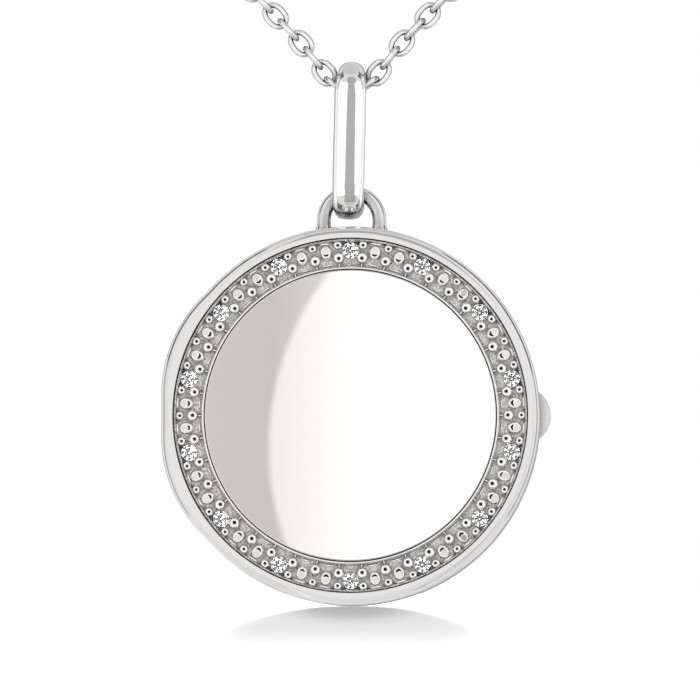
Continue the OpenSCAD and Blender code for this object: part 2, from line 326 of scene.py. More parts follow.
@dataclass(frozen=True)
class MirrorSilver(Finish):
    """Rhodium-plated sterling silver, polished on a soft mop.

    The plate gives the eye a spotless white mirror. The mop leaves a haze that varies over the
    surface, and long waves so shallow that they only bend the edges of what is reflected. A
    finish with a shade has painted shade in narrow places, and one with an outline has painted
    shade on its sides turned away from the eye.
    """

    name: str = "mopped_rhodium_silver"
    colour: str = "#F6F4F2"
    clear_roughness: float = 0.012
    hazy_roughness: float = 0.05
    haze_mm: float = 2.4
    haze_span: tuple[float, float] = (0.35, 0.75)
    wave_mm: float = 5.0
    wave_depth_mm: float = 0.0006
    pinch_mm: float = 0.25
    pinch_depth_mm: float = 0.0
    # shade, shade_mm and shade_open: painted shade, darker where ambient occlusion finds narrow places
    shade: str = "#5E5A57"
    shade_mm: float = 0.0
    shade_open: tuple[float, float] = (0.55, 0.9)
    # outline: painted shade, a dark edge on sides turned away from the eye
    outline: str = ""
    edge_shade_span: tuple[float, float] = (0.5, 0.82)

    def build(self) -> bpy.types.Material:
        """Makes the material."""
        material, tree, place = self.start()
        haze = add_node(tree, "TexNoise", {
            "Vector": place, "Scale": scale_for(self.haze_mm), "Detail": 3.0})
        rough = add_node(tree, "MapRange", {
            "Value": haze.outputs["Fac"], "From Min": self.haze_span[0], "From Max": self.haze_span[1],
            "To Min": self.clear_roughness, "To Max": self.hazy_roughness})
        wave = add_node(tree, "TexNoise", {
            "Vector": place, "Scale": scale_for(self.wave_mm), "Detail": 1.0})
        bump = add_node(tree, "Bump", {"Height": wave.outputs["Fac"], "Distance": self.wave_depth_mm * MM})
        if self.pinch_depth_mm:
            pinch = add_node(tree, "TexNoise", {
                "Vector": place, "Scale": scale_for(self.pinch_mm), "Detail": 2.0})
            bump = add_node(tree, "Bump", {
                "Height": pinch.outputs["Fac"], "Distance": self.pinch_depth_mm * MM,
                "Normal": bump.outputs["Normal"]})
        self.coat(material, {
            "Base Color": linear(self.colour), "Metallic": 1.0,
            "Roughness": rough.outputs["Result"], "Normal": bump.outputs["Normal"]})
        return self.coat(material, {"Base Color": self.tone(tree)}) if self.shade_mm else material

    def tone(self, tree: bpy.types.NodeTree) -> bpy.types.NodeSocket:
        """The colour, mixed with painted shade in narrow places and, with an outline, on turned sides."""
        # Painted shade: darker where ambient occlusion finds narrow places
        around = add_node(tree, "AmbientOcclusion", {"Distance": self.shade_mm * MM}, samples=AO_SAMPLES)
        share = add_node(tree, "MapRange", {
            "Value": around.outputs["AO"], "From Min": self.shade_open[0], "From Max": self.shade_open[1]})
        tone = add_node(tree, "MixRGB", {
            0: share.outputs["Result"], 1: linear(self.shade), 2: linear(self.colour)})
        if self.outline:
            # Painted shade on sides turned away from the eye, drawn as a dark edge
            turned = add_node(tree, "LayerWeight", {"Blend": 0.5})
            share = add_node(tree, "MapRange", {
                "Value": turned.outputs["Facing"],
                "From Min": self.edge_shade_span[0], "From Max": self.edge_shade_span[1]})
            tone = add_node(tree, "MixRGB", {
                0: share.outputs["Result"], 1: tone.outputs[0], 2: linear(self.outline)})
        return tone.outputs[0]


@dataclass(frozen=True)
class GraverCutSilver(Finish):
    """Cast silver between the beads, as the graver and the drill leave it.

    Fine torn grain, with painted shade where the surface is narrow or hollow, makes the beads stand out
    white.
    """

    name: str = "graver_cut_silver"
    bright: str = "#F4F2F0"
    dull: str = "#A6A29E"
    shade: str = "#3A3836"
    shade_mm: float = 0.3
    shade_open: tuple[float, float] = (0.35, 0.85)
    low_roughness: float = 0.14
    high_roughness: float = 0.36
    grain_mm: float = 0.13
    grain_span: tuple[float, float] = (0.35, 0.65)
    grain_depth_mm: float = 0.045
    cut_mm: float = 0.3

    def build(self) -> bpy.types.Material:
        """Makes the material."""
        material, tree, place = self.start()
        grain = add_node(tree, "TexNoise", {
            "Vector": place, "Scale": scale_for(self.grain_mm), "Detail": 3.0})
        cuts = add_node(tree, "TexVoronoi", {"Vector": place, "Scale": scale_for(self.cut_mm)})
        share = add_node(tree, "MapRange", {
            "Value": grain.outputs["Fac"], "From Min": self.grain_span[0], "From Max": self.grain_span[1]})
        tone = add_node(tree, "MixRGB", {
            0: share.outputs["Result"], 1: linear(self.dull), 2: linear(self.bright)})
        # Painted shade: darker round the beads' feet and between them, where ambient occlusion finds narrow
        # places
        around = add_node(tree, "AmbientOcclusion", {"Distance": self.shade_mm * MM}, samples=AO_SAMPLES)
        share = add_node(tree, "MapRange", {
            "Value": around.outputs["AO"], "From Min": self.shade_open[0], "From Max": self.shade_open[1]})
        tone = add_node(tree, "MixRGB", {
            0: share.outputs["Result"], 1: linear(self.shade), 2: tone.outputs[0]})
        rough = add_node(tree, "MapRange", {
            "Value": grain.outputs["Fac"], "To Min": self.low_roughness, "To Max": self.high_roughness})
        height = add_node(tree, "Math", {
            0: grain.outputs["Fac"], 1: cuts.outputs["Distance"]}, operation="ADD")
        bump = add_node(tree, "Bump", {"Height": height.outputs[0], "Distance": self.grain_depth_mm * MM})
        return self.coat(material, {
            "Base Color": tone.outputs[0], "Metallic": 1.0,
            "Roughness": rough.outputs["Result"], "Normal": bump.outputs["Normal"]})


@dataclass(frozen=True)
class SatinSilver(Finish):
    """The inside of both shells, brushed upright and not mopped.

    Fine brush lines spread the light, so that the inside looks soft and a little grey. They are
    drawn coarser than a real brush's, which would be too fine to show.
    """

    name: str = "brushed_inside_silver"
    colour: str = "#E4E0DC"
    low_roughness: float = 0.24
    high_roughness: float = 0.4
    line_mm: float = 0.12
    line_depth_mm: float = 0.004
    line_stretch: float = 0.06

    def build(self) -> bpy.types.Material:
        """Makes the material."""
        material, tree, place = self.start()
        stretch = add_node(tree, "Mapping", {"Vector": place, "Scale": (1.0, 1.0, self.line_stretch)})
        lines = add_node(tree, "TexNoise", {
            "Vector": stretch.outputs[0], "Scale": scale_for(self.line_mm), "Detail": 2.0})
        rough = add_node(tree, "MapRange", {
            "Value": lines.outputs["Fac"], "To Min": self.low_roughness, "To Max": self.high_roughness})
        bump = add_node(tree, "Bump", {"Height": lines.outputs["Fac"], "Distance": self.line_depth_mm * MM})
        return self.coat(material, {
            "Base Color": linear(self.colour), "Metallic": 1.0,
            "Roughness": rough.outputs["Result"], "Normal": bump.outputs["Normal"]})


@dataclass(frozen=True)
class SeamSilver(Finish):
    """Silver in the narrow seams, with the shade in them painted dark grey in uneven spots.

    It draws a thin dark line round the plate and round the stone band.
    """

    name: str = "painted_shade_seam_silver"
    pale_shade: str = "#B4B0AC"
    deep_shade: str = "#6E6A66"
    roughness: float = 0.55
    spot_mm: float = 0.5
    spot_span: tuple[float, float] = (0.45, 0.75)

    def build(self) -> bpy.types.Material:
        """Makes the material."""
        material, tree, place = self.start()
        spots = add_node(tree, "TexNoise", {
            "Vector": place, "Scale": scale_for(self.spot_mm), "Detail": 3.0})
        share = add_node(tree, "MapRange", {
            "Value": spots.outputs["Fac"], "From Min": self.spot_span[0], "From Max": self.spot_span[1]})
        # Painted shade: the seams drawn in two dark greys, mixed in uneven spots
        tone = add_node(tree, "MixRGB", {
            0: share.outputs["Result"], 1: linear(self.deep_shade), 2: linear(self.pale_shade)})
        return self.coat(material, {
            "Base Color": tone.outputs[0], "Metallic": 1.0, "Roughness": self.roughness})


@dataclass(frozen=True)
class BrilliantDiamond(Finish):
    """Near-colourless diamond in a polished round brilliant cut.

    Its high refractive index breaks the studio into many small bright and dark flashes. The
    polishing wheel leaves faint lines on the facets, drawn coarser here than real ones, which
    would be too fine to show.
    """

    name: str = "near_colourless_diamond"
    colour: str = "#FFFFFF"
    ior: float = 2.417
    wheel_mm: float = 0.03
    wheel_depth_mm: float = 0.00004

    def build(self) -> bpy.types.Material:
        """Makes the material."""
        material, tree, place = self.start()
        wheel = add_node(tree, "TexNoise", {"Vector": place, "Scale": scale_for(self.wheel_mm)})
        bump = add_node(tree, "Bump", {
            "Height": wheel.outputs["Fac"], "Distance": self.wheel_depth_mm * MM})
        return self.coat(material, {
            "Base Color": linear(self.colour), "Roughness": 0.0, "IOR": self.ior,
            "Transmission Weight": 1.0, "Normal": bump.outputs["Normal"]})


@dataclass(frozen=True)
class StudioPaper(Finish):
    """Matt white studio paper under the locket, with a faint tooth."""

    name: str = "matt_white_paper"
    colour: str = "#F4F4F4"
    tooth_mm: float = 0.4
    low_roughness: float = 0.85
    high_roughness: float = 0.95

    def build(self) -> bpy.types.Material:
        """Makes the material."""
        material, tree, place = self.start()
        tooth = add_node(tree, "TexNoise", {"Vector": place, "Scale": scale_for(self.tooth_mm)})
        rough = add_node(tree, "MapRange", {
            "Value": tooth.outputs["Fac"], "To Min": self.low_roughness, "To Max": self.high_roughness})
        return self.coat(material, {
            "Base Color": linear(self.colour), "Roughness": rough.outputs["Result"],
            "Specular IOR Level": 0.0})


def link_object(name: str, data: bpy.types.ID) -> bpy.types.Object:
    """Makes an object of a mesh, a lamp or a camera and puts it in the scene."""
    made = bpy.data.objects.new(name, data)
    bpy.context.scene.collection.objects.link(made)
    return made


def dress(
    piece: bpy.types.Object,
    finishes: Sequence[bpy.types.Material],
    body: Body,
    replaced: Sequence[str] = (),
) -> bpy.types.Object:
    """Gives a new piece its finishes, its body and the nodes that it stands for.

    Args:
        piece: The object to dress.
        finishes: Materials in the order of the piece's finish numbers.
        body: The body that the piece rides on.
        replaced: CAD nodes that the piece stands for.
    Returns:
        The same object.
    """
    for finish in finishes:
        piece.data.materials.append(finish)
    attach(piece, body.value)
    if replaced:
        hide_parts(*replaced)
    return piece


@dataclass(frozen=True)
class CaseSizes:
    """Sizes that the lid, the back and the stone band share, in millimetres."""

    radius: float = CASE_R
    joint_z: float = 0.45
    lid_depth: float = 2.0
    back_depth: float = 2.9
    gap: float = 0.03
    edge_break: float = 0.03
    rim_w: float = 0.66
    band_w: float = 1.82
    floor_h: float = 1.5
    channel_drop: float = 0.45
    stone_out: float = 0.21
    axis_x: float = HINGE_IN - CASE_R
    axis_z: float = -0.15
    knuckle_r: float = 0.45
    stones: int = 14
    turn_steps: int = 480

    @property
    def lid_low_z(self) -> float:
        """Height of the lid's lower edge."""
        return self.joint_z + self.gap / 2

    @property
    def front_z(self) -> float:
        """Height of the rim's front."""
        return self.joint_z + self.lid_depth

    @property
    def back_z(self) -> float:
        """Height of the rear face's edge."""
        return self.joint_z - self.back_depth

    @property
    def rim_in_r(self) -> float:
        """Inner radius of the polished rim."""
        return self.radius - self.rim_w

    @property
    def plate_r(self) -> float:
        """Radius of the mirror plate."""
        return self.rim_in_r - self.band_w

    @property
    def floor_z(self) -> float:
        """Height of the floor between the beads."""
        return self.joint_z + self.floor_h

    @property
    def channel_z(self) -> float:
        """Height of the lid's channel, in which the stone band lies."""
        return self.floor_z - self.channel_drop

    @property
    def stone_ring_r(self) -> float:
        """Radius of the circle that the stones lie on, a little outside the band's middle."""
        return (self.plate_r + self.rim_in_r) / 2 + self.stone_out

    @property
    def cells(self) -> int:
        """Number of places along the band: a stone and two domes in turn."""
        return 3 * self.stones

    def cell_angle(self, cell: float) -> float:
        """Angle in radians of a place on the band, counted clockwise from the top."""
        return math.radians(90 - 360 / self.cells * cell)


def keyhole(radius: float, half_w: float, reach: float, turn_deg: float, steps: int = 28) -> np.ndarray:
    """Outline of a hinge knuckle with the web that joins it to its shell.

    Args:
        radius: Radius of the knuckle.
        half_w: Half the web's width.
        reach: How far the web runs from the knuckle's axis.
        turn_deg: Direction of the web, counted from the x axis.
        steps: Sides of the round part.
    Returns:
        Points as count by 2, counter-clockwise round the axis.
    """
    leave = math.degrees(math.asin(half_w / radius))
    arc = arc_steps(leave, 360 - leave, steps)
    outline = np.vstack((
        np.column_stack((radius * np.cos(arc), radius * np.sin(arc))), [(reach, -half_w), (reach, half_w)]))
    turn = math.radians(turn_deg)
    spin = np.array([[math.cos(turn), math.sin(turn)], [-math.sin(turn), math.cos(turn)]])
    return outline @ spin


def add_knuckle(sketch: Sketch, outline: np.ndarray, sizes: CaseSizes, from_y: float, to_y: float) -> None:
    """Adds one knuckle of the hinge, along y, with a small chamfer at both ends.

    Args:
        sketch: What it is drawn into.
        outline: The knuckle's outline round the hinge axis, x then z.
        sizes: The case's sizes.
        from_y: Lower end.
        to_y: Upper end.
    """
    chamfer = sizes.edge_break
    rows = []
    for y, inset in ((from_y, chamfer), (from_y + chamfer, 0.0), (to_y - chamfer, 0.0), (to_y, chamfer)):
        shrunk = outline * (1 - inset / sizes.knuckle_r)
        rows.append(np.column_stack((
            sizes.axis_x + shrunk[:, 0], np.full(len(outline), y), sizes.axis_z + shrunk[:, 1])))
    sketch.shell(np.array(rows)[::-1])


@dataclass
class Lid:
    """The front shell: polished rim, stone channel, crowned mirror plate, knuckle and tab."""

    sizes: CaseSizes
    swell_r: float = 7.8
    swell_half: float = 1.2
    swell_blend: float = 0.05
    swell_cosine: float = -0.9
    rim_round: float = 0.5
    rim_steps: int = 14
    lip_break: float = 0.02
    lip_depth: float = 0.12
    hollow_r: float = CASE_R - 0.85
    hollow_z: float = 1.0
    wall_x: float = 0.85 + HINGE_IN - CASE_R
    plate_wall: float = 0.5
    plate_hollow_z: float = 1.87
    plate_hollow_mid_z: float = 2.23
    hollow_shares: tuple[float, ...] = (0.04, 0.3, 0.6, 0.9, 1.0)
    plate_drop: float = 0.1
    plate_rise: float = 0.55
    plate_edge_round: float = 0.05
    plate_edge_deg: tuple[float, float] = (25, 78)
    plate_edge_shares: tuple[float, ...] = (1.0, 0.998, 0.995, 0.985)
    plate_shares: tuple[float, float] = (0.965, 0.02)
    plate_rows: int = 36
    web_half: float = 0.25
    web_root: float = 0.12
    knuckle_half: float = 0.95
    tab_chord: float = 2.6
    tab_reach: float = 0.6
    tab_t: float = 0.6
    tab_round: float = 0.14
    tab_root: float = 0.3
    tab_sides: int = 96
    tab_steps: int = 10

    def outline(self, angles: np.ndarray) -> np.ndarray:
        """Radius of the lid's outline at each angle, swollen on the left over the hinge."""
        across, up = np.cos(angles), np.sin(angles)
        radii = np.full(len(angles), self.sizes.radius)
        for side in (-1, 1):
            centre_x, centre_y = self.swell_r - self.sizes.radius, side * self.swell_half
            along = across * centre_x + up * centre_y
            root = along ** 2 - centre_x ** 2 - centre_y ** 2 + self.swell_r ** 2
            radii = rounded_max(radii, along + np.sqrt(root), self.swell_blend)
        left = np.where(across < self.swell_cosine, -self.sizes.radius / across, 0.0)
        return np.where(np.abs(left * up) <= self.swell_half, np.maximum(radii, left), radii)

    def rows(self, angles: np.ndarray) -> tuple[np.ndarray, list[int]]:
        """Rings of the shell, from the hollow's middle round the rim to the plate's foot.

        Args:
            angles: The angles of each ring's points.
        Returns:
            The rings, and the finish of each band between two rings.
        """
        size = self.sizes
        edge = self.outline(angles)
        joint = size.lid_low_z
        hollow = size.plate_r - self.plate_wall
        drop = self.plate_hollow_mid_z - self.plate_hollow_z
        inside = [circle(hollow * share, self.plate_hollow_mid_z - drop * share, angles)
                  for share in self.hollow_shares]
        inside.append(circle(hollow, self.hollow_z, angles))
        for z in (self.hollow_z, joint):
            wall = circle(self.hollow_r, z, angles)
            wall[:, 0] = np.maximum(wall[:, 0], self.wall_x)
            inside.append(wall)
        outside = [
            circle(edge - size.edge_break, joint, angles), circle(edge, joint + size.edge_break, angles)]
        for a in arc_steps(0, 90, self.rim_steps):
            inset, drop = self.rim_round * (1 - math.cos(a)), self.rim_round * (1 - math.sin(a))
            outside.append(circle(edge - inset, size.front_z - drop, angles))
        inner = size.rim_in_r
        for radius, z in (
                (inner + self.lip_break, size.front_z), (inner, size.front_z - self.lip_break),
                (inner, size.front_z - self.lip_depth), (inner, size.channel_z),
                (size.plate_r, size.channel_z)):
            outside.append(circle(radius, z, angles))
        # Finish 2, the seam finish with painted shade, lines the rim's lower inner wall and the channel
        looks = [1] * (len(inside) - 1) + [0] * (len(outside) - 2) + [2, 2]
        return np.array(inside + outside), looks

    def plate_rings(self, angles: np.ndarray) -> np.ndarray:
        """Rings of the mirror plate, from its foot over its rounded edge to near its middle."""
        size = self.sizes
        edge_z = size.front_z - self.plate_drop
        top_z = edge_z + self.plate_rise
        crown_r = dome_radius(size.plate_r, self.plate_rise)
        rings = [circle(size.plate_r, z, angles) for z in (size.channel_z, edge_z - self.plate_edge_round)]
        for a in arc_steps(*self.plate_edge_deg, 3):
            rings.append(circle(
                size.plate_r - self.plate_edge_round * (1 - math.cos(a)),
                edge_z - self.plate_edge_round * (1 - math.sin(a)), angles))
        for share in (*self.plate_edge_shares, *np.linspace(*self.plate_shares, self.plate_rows)):
            radius = (size.plate_r - self.plate_edge_round) * share
            rings.append(circle(radius, top_z - crown_r + math.sqrt(crown_r ** 2 - radius ** 2), angles))
        return np.array(rings)

    def add_tab(self, sketch: Sketch) -> None:
        """Adds the thumb tab on the right, a thin slice of a disc with a rounded edge."""
        size = self.sizes
        radius = dome_radius(self.tab_chord / 2, self.tab_reach)
        middle_x = size.radius + self.tab_reach - radius
        low = size.lid_low_z
        rows = []
        for a in arc_steps(-90, 90, self.tab_steps):
            inset = self.tab_round * (1 - math.cos(a))
            rise = self.tab_round * math.sin(a)
            z = low + self.tab_round + rise if a < 0 else low + self.tab_t - self.tab_round + rise
            ring = circle(radius - inset, z, turn_angles(self.tab_sides)) + (middle_x, 0, 0)
            reach = np.hypot(ring[:, 0], ring[:, 1])
            ring[:, :2] *= (np.maximum(reach, self.hollow_r + self.tab_root) / reach)[:, None]
            rows.append(ring)
        sketch.shell(np.array(rows))

    def build(
        self,
        shaded: bpy.types.Material,
        polished: bpy.types.Material,
        satin: bpy.types.Material,
        seam: bpy.types.Material,
    ) -> list[bpy.types.Object]:
        """Makes the lid, as its shell and its mirror plate."""
        size = self.sizes
        angles = turn_angles(size.turn_steps)
        shell = Sketch()
        rows, looks = self.rows(angles)
        first = shell.sheet(rows, looks)
        shell.fan(first, len(angles), rows[0].mean(axis=0), 1, out=False)
        self.add_tab(shell)
        outline = keyhole(size.knuckle_r, self.web_half, size.joint_z - size.axis_z + self.web_root, 90)
        add_knuckle(shell, outline, size, -self.knuckle_half, self.knuckle_half)
        plate = Sketch()
        rows = self.plate_rings(angles)
        # Finish 1, the seam finish with painted shade, lines the plate's foot in the channel
        first = plate.sheet(rows, [1] + [0] * (len(rows) - 2))
        plate.fan(first + (len(rows) - 1) * len(angles), len(angles), rows[-1].mean(axis=0))
        return [
            dress(sketch.make(name, from_case), finishes, Body.LID, ["lid"])
            for name, sketch, finishes in (
                ("lid_shell", shell, [shaded, satin, seam]), ("lid_plate", plate, [polished, seam]))]


@dataclass
class CaseBack:
    """The back shell with its snap collar, two knuckles and the hanging ring."""

    sizes: CaseSizes
    wall_in: float = 0.03
    wall_zs: tuple[float, ...] = (-1.2, -0.7, -0.6, -0.45, -0.3, -0.15, 0.0, 0.15, 0.3, 0.4)
    edge_round: float = 0.6
    edge_steps: int = 10
    back_rise: float = 0.4
    back_rows: int = 20
    middle_share: float = 0.03
    floor_t: float = 0.72
    floor_bevel: float = 0.1
    floor_radii: tuple[float, float] = (5.0, 0.2)
    hollow_r: float = CASE_R - 0.75
    collar_in_r: float = CASE_R - 1.27
    collar_r: float = CASE_R - 0.93
    collar_z: float = 0.93
    collar_root_z: float = -0.35
    collar_bevel: float = 0.05
    collar_x: float = 1.05 + HINGE_IN - CASE_R
    wall_x: float = 0.95 + HINGE_IN - CASE_R
    hinge_flat: float = 0.3
    relief: float = 0.06
    knuckle_from: float = 1.0
    knuckle_to: float = 3.2
    web_half: float = 0.4
    web_reach: float = 0.5
    ring_y: float = CASE_R + 0.48
    ring_mid_r: float = 1.585
    wire_r: float = 0.395
    wire_sides: int = 28
    arch_steps: int = 56
    leg_steps: int = 22
    foot_r: float = 0.6
    foot_h: float = 0.55
    foot_in: float = 0.25
    foot_sunk: float = 0.1

    def outer(self, radius: float, z: float, angles: np.ndarray) -> np.ndarray:
        """One ring of the outer wall, cut flat along the hinge and scooped round the lid's knuckle."""
        size = self.sizes
        ring = circle(radius, z, angles)
        flat = np.full(len(angles), size.axis_x + self.hinge_flat)
        scoop = (size.knuckle_r + self.relief) ** 2 - (z - size.axis_z) ** 2
        if scoop > 0:
            near = np.abs(ring[:, 1]) < self.knuckle_from
            flat = np.where(near, np.maximum(flat, size.axis_x + math.sqrt(scoop)), flat)
        ring[:, 0] = np.maximum(ring[:, 0], flat)
        return ring

    def rows(self) -> tuple[np.ndarray, list[int]]:
        """Rings of the shell, from the rear face's middle round the wall to the hollow's middle.

        Returns:
            The rings, and the finish of each band between two rings.
        """
        size = self.sizes
        angles = turn_angles(size.turn_steps)
        wall_r = size.radius - self.wall_in
        flat_r = wall_r - self.edge_round
        dome_r = dome_radius(flat_r, self.back_rise)
        rings = []
        for share in np.linspace(self.middle_share, 1.0, self.back_rows):
            radius = flat_r * share
            z = size.back_z - self.back_rise + dome_r - math.sqrt(dome_r ** 2 - radius ** 2)
            rings.append(self.outer(radius, z, angles))
        for a in arc_steps(0, 90, self.edge_steps):
            radius = flat_r + self.edge_round * math.sin(a)
            rings.append(self.outer(radius, size.back_z + self.edge_round * (1 - math.cos(a)), angles))
        for z in (*self.wall_zs, size.joint_z - size.edge_break):
            rings.append(self.outer(wall_r, z, angles))
        rings.append(self.outer(wall_r - size.edge_break, size.joint_z, angles))
        outside = len(rings)
        rings.extend(self.collar_rings(angles))
        floor_z = size.back_z + self.floor_t
        for radius, z in (
                (self.hollow_r, self.collar_root_z), (self.hollow_r, floor_z + self.floor_bevel),
                (self.hollow_r - self.floor_bevel, floor_z), *((r, floor_z) for r in self.floor_radii)):
            ring = circle(radius, z, angles)
            ring[:, 0] = np.maximum(ring[:, 0], self.wall_x)
            rings.append(ring)
        return np.array(rings), [0] * outside + [1] * (len(rings) - 1 - outside)

    def collar_rings(self, angles: np.ndarray) -> list[np.ndarray]:
        """Rings of the snap collar, which stops short of the hinge."""
        joint_z = self.sizes.joint_z
        stop_y = math.sqrt(self.collar_in_r ** 2 - self.collar_x ** 2)
        rings = []
        for radius, z in (
                (self.collar_r, joint_z), (self.collar_r, self.collar_z - self.collar_bevel),
                (self.collar_r - self.collar_bevel, self.collar_z), (self.collar_in_r, self.collar_z),
                (self.collar_in_r, self.collar_root_z)):
            ring = circle(radius, z, angles)
            hinge_side = (ring[:, 0] < self.collar_x) & (np.abs(ring[:, 1]) < stop_y)
            inner = radius == self.collar_in_r
            cut_x = self.wall_x if inner else np.where(hinge_side, self.wall_x, self.collar_x)
            ring[:, 0] = np.maximum(ring[:, 0], cut_x)
            ring[:, 2] = np.where(hinge_side, np.minimum(ring[:, 2], joint_z), ring[:, 2])
            rings.append(ring)
        return rings

    def add_hanging_ring(self, sketch: Sketch) -> None:
        """Adds the arch of round wire on two legs that flare into the case."""
        foot_y = self.sizes.radius - self.foot_in
        leg = np.linspace(foot_y - self.foot_sunk, self.ring_y, self.leg_steps, endpoint=False)
        path = [(self.ring_mid_r, y, 0.0) for y in leg]
        for a in arc_steps(0, 180, self.arch_steps):
            path.append((self.ring_mid_r * math.cos(a), self.ring_y + self.ring_mid_r * math.sin(a), a))
        path.extend((-self.ring_mid_r, y, math.pi) for y in leg[::-1])
        around = turn_angles(self.wire_sides)
        rows = []
        for x, y, tilt in path:
            flare = max(0.0, 1 - max(0.0, y - foot_y) / self.foot_h)
            radius = self.wire_r + (self.foot_r - self.wire_r) * flare ** 2
            out = np.cos(around) * radius
            ring = np.column_stack((
                x + out * math.cos(tilt), y + out * math.sin(tilt), np.sin(around) * radius))
            ring[:, 2] = np.minimum(ring[:, 2], self.sizes.joint_z - self.sizes.gap)
            rows.append(ring)
        sketch.shell(np.array(rows)[::-1])

    def build(self, polished: bpy.types.Material, satin: bpy.types.Material) -> bpy.types.Object:
        """Makes the back."""
        sketch = Sketch()
        sketch.shell(*self.rows())
        self.add_hanging_ring(sketch)
        outline = keyhole(self.sizes.knuckle_r, self.web_half, self.web_reach, 0)
        for from_y, to_y in ((self.knuckle_from, self.knuckle_to), (-self.knuckle_to, -self.knuckle_from)):
            add_knuckle(sketch, outline, self.sizes, from_y, to_y)
        piece = sketch.make("case_back_shell", from_case)
        # The back's outer finish, passed in as polished, carries painted shade in narrow places
        return dress(piece, [polished, satin], Body.CASE, ["case_back"])


@dataclass(frozen=True)
class BrightCut:
    """A graver's cut, a low ridge with pointed ends: how far out it lies and its sizes."""

    out: float
    lengths: tuple[float, float]
    width: float
    height: float
    section: tuple[tuple[float, float], ...] = ((-1, -0.3), (-0.6, 0.94), (0, 1), (0.6, 0.94), (1, -0.3))
    rows: int = 9
    end_share: float = 0.02

    def add(self, sketch: Sketch, middle: np.ndarray, long_way: np.ndarray, length: float) -> None:
        """Adds the ridge.

        Args:
            sketch: What it is drawn into.
            middle: Its middle, on the floor.
            long_way: Direction that it runs in.
            length: Its length.
        """
        across = np.cross([0, 0, 1], long_way)
        rows = []
        for t in np.linspace(-1, 1, self.rows):
            swell = math.sqrt(max(self.end_share, 1 - t * t))
            rows.append([
                middle + long_way * t * length / 2 + across * (c * self.width / 2 * swell)
                + np.array([0, 0, h * self.height * swell]) for c, h in self.section])
        sketch.sheet(np.array(rows)[::-1], wrap=False)


